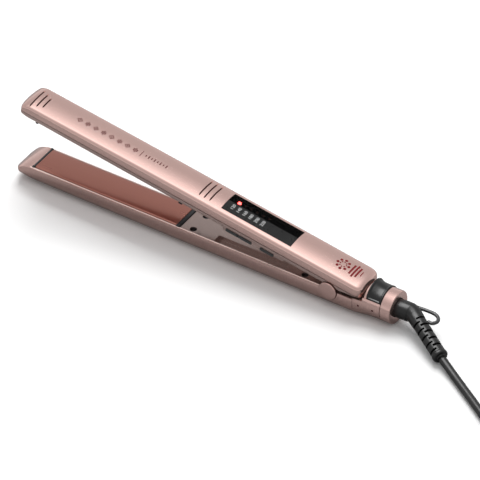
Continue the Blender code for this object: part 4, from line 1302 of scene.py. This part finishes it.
def saddle_radius(turn, lift, edge):
    """The saddle's surface. Its rim stands up, and inside the rim a bevel leads down into the dish."""
    full = math.radians(SADDLE_HALF_ANGLE)
    share = min(abs(turn) / full, 1)
    inside = min(edge, (1 - share) * full * BARREL_RADIUS)
    rim = 0.55 - 0.55 * within((inside - 0.9) / 0.8) - 0.25 * max(0.0, 1 - inside / 0.3)
    return BARREL_RADIUS + 0.1 + rim + lift * math.cos(share * math.pi / 2) ** 0.8


def lock_slider():
    """A concave thumb saddle: a ridge in front, a dish, and a low lip behind."""
    start, end = [corner.x for corner in extent("lock_slider")]
    inner = BARREL_RADIUS - RECESS_DEPTH + 0.3
    rings = []
    for share in spread(0, 1, 60):
        lift = SADDLE_LIP * (1 - share) ** 2.2
        edge = min(share, 1 - share) * (end - start)
        x = start + (end - start) * share
        rings.append(arc_ring(x, lambda turn: saddle_radius(turn, lift, edge), SADDLE_HALF_ANGLE, 120, inner))
    stem = block((35.4, -1.7, BARREL_Z + 8.4), (38.6, 1.7, BARREL_Z + inner + 0.5))
    foot = block((34.6, -3.4, BARREL_Z + 7.4), (39.4, 3.4, BARREL_Z + 8.9))
    saddle = joined(loft(rings), stem, foot)
    node = "lock_slider"
    piece("lock_saddle", saddle, LOWER, "gloss_black", [node], body=node)


def side_plugs():
    """Small dark red plugs, flush in the rear body's near side."""
    for node in ("side_plug_1", "side_plug_2"):
        low, high = extent(node)
        middle = ((low.x + high.x) / 2, 0, (low.z + high.z) / 2)
        surface = HALF_WIDTH + (BARREL_RADIUS - HALF_WIDTH) * barrel_share(middle[0])
        head = rod("y", -surface - 0.12, -surface + 1.5, (high.x - low.x) / 2, middle, 32)
        piece(f"{node}_head", head, LOWER, "plug_dark_red", [node])


# ---- the swivel ----

BOOT_RADIUS = 7.25
RIBBED_RADIUS = 5.4
ELBOW = Vector((62.5, 0.3, BARREL_Z))
BOOT_END = Vector((100.2, -23.0, -9.8))
SLOTS_A_SIDE = 5
SLOT_PITCH = 0.149  # of the flexible part's length, as are the next two
NEAR_SLOT_START = 0.283
FAR_SLOT_START = 0.205
SLOT_FLOOR = 3.5  # the radius that a slot's floor lies at
COLLAR_START_X = 46.3
LOOP_RADIUS = 1.35
LOOP_ROUTE = (
    (57.0, 7.6),
    (63.3, 7.7),
    (69.3, 8.2),
    (76.1, 7.9),
    (80.4, 5.3),
    (81.8, 1.4),
    (79.6, -1.9),
    (75.8, -1.7),
)


def flex_radius(share):
    """The flexible part's radius, this share of the way from the elbow to its end."""
    if share > 0.925:
        return RIBBED_RADIUS + 0.4
    return RIBBED_RADIUS + 0.5 * (1 - within((share - 0.12) / 0.18))


def elbow():
    """The straight collar, and the bend."""
    arm = BOOT_END - ELBOW
    start = Vector((COLLAR_START_X, 0, BARREL_Z)) - ELBOW
    bend_start, bend_end = start * 0.14, arm * 0.09
    collar = BOOT_RADIUS - 0.2
    path = [start * share for share in (1, 0.85, 0.7, 0.55, 0.4, 0.25, 0.14)]
    radii = [collar] * len(path)
    for t in even(0, 1, 14):
        path.append(bend_start * (1 - t) ** 2 + bend_end * t**2)
        radii.append(collar + (flex_radius(0.1) - BOOT_RADIUS + 0.2) * t)
    for share in (0.09, 0.12, 0.15, 0.19):
        path.append(arm * share)
        radii.append(flex_radius(share) - 0.01)
    return sweep([ELBOW + p for p in path], radii, 48)


def flex_arm():
    """The straight flexible part, with its slots cut, and a lip that rounds in to the cord."""
    shares = [0.17, 0.2, 0.23, 0.26, 0.3, 0.5, 0.7, 0.9, 0.915, 0.925]
    radii = [flex_radius(share) for share in shares]
    shares += [0.935, 0.95, 0.975, 0.99, 0.998, 1.0, 1.016]
    radii += [RIBBED_RADIUS + rise for rise in (0.3, 0.4, 0.35, 0.0, -0.8, -2.1, -2.45)]
    path = [ELBOW.lerp(BOOT_END, share) for share in shares]
    return carved(sweep(path, radii, 64), *boot_slots())


def slot_cutter(along, half, start, end):
    """Part of a ring about the flexible part's axis. Its angles turn from the top towards the far side."""
    turns = arc(start, end, 16)
    rings = []
    for x in (along - half, along + half):
        outer = [(x, OUTSIDE * math.sin(t), OUTSIDE * math.cos(t)) for t in turns]
        inner = [(x, SLOT_FLOOR * math.sin(t), SLOT_FLOOR * math.cos(t)) for t in reversed(turns)]
        rings.append(outer + inner)
    return loft(rings)


def boot_slots():
    """Flex slots round each side. Each side's are half a pitch from the other's, and meet them on top."""
    arm = BOOT_END - ELBOW
    ahead = arm.normalized()
    far = Vector((0, 0, 1)).cross(ahead).normalized()
    frame_of_arm = Matrix((ahead, far, ahead.cross(far))).transposed().to_4x4()
    slots = []
    for k in range(SLOTS_A_SIDE):
        near = arm.length * (NEAR_SLOT_START + SLOT_PITCH * k)
        across = arm.length * (FAR_SLOT_START + SLOT_PITCH * k)
        slots.append(slot_cutter(near, 0.85, -165, -14))
        slots.append(slot_cutter(across, 1.0, -28, 100))
        slots.append(slot_cutter(across, 1.0, 128, 170))
    for slot in slots:
        slot.transform(Matrix.Translation(ELBOW) @ frame_of_arm)
    return slots


def boot():
    shape = joined(elbow(), flex_arm())
    return piece("flex_boot", shape, LOWER, "cord_rubber", ["cord_boot"], body="cord_swivel", smooth=40)


def hanging_loop():
    """A hook-shaped loop, moulded to a lug at the boot's root."""
    path = smooth_path([(x, y, BARREL_Z) for x, y in LOOP_ROUTE], 0.5)
    last = len(path) - 1
    radii = [LOOP_RADIUS * min(1.0, 0.55 + 0.45 * math.sqrt(min(k, last - k) / 2)) for k in range(last + 1)]
    lug = block((54.6, 5.2, BARREL_Z - 1.3), (60.5, 8.8, BARREL_Z + 1.3), 0.9, 4)
    shape = joined(sweep(path, radii, 24), lug)
    return piece("loop_hook", shape, LOWER, "loop_plastic", ["hanging_loop"], body="cord_swivel")


def main():
    dress_cad_nodes()
    camera()
    cord_piece, path, length = cord()
    stage()
    on_cord = [cord_strap(), *plug(), boot(), hanging_loop()]
    upper_shell()
    upper_tray()
    control_panel()
    buttons()
    ornaments()
    lower_shell()
    rim_lip()
    inner_cover()
    plate_set("lower", LOWER, 1)
    plate_set("upper", UPPER, -1)
    hinge_caps()
    rear_cover()
    end_ring()
    lock_slider()
    side_plugs()
    strip_light("cord_rubber", "loop_plastic", "gloss_black", "black_plastic")


main()
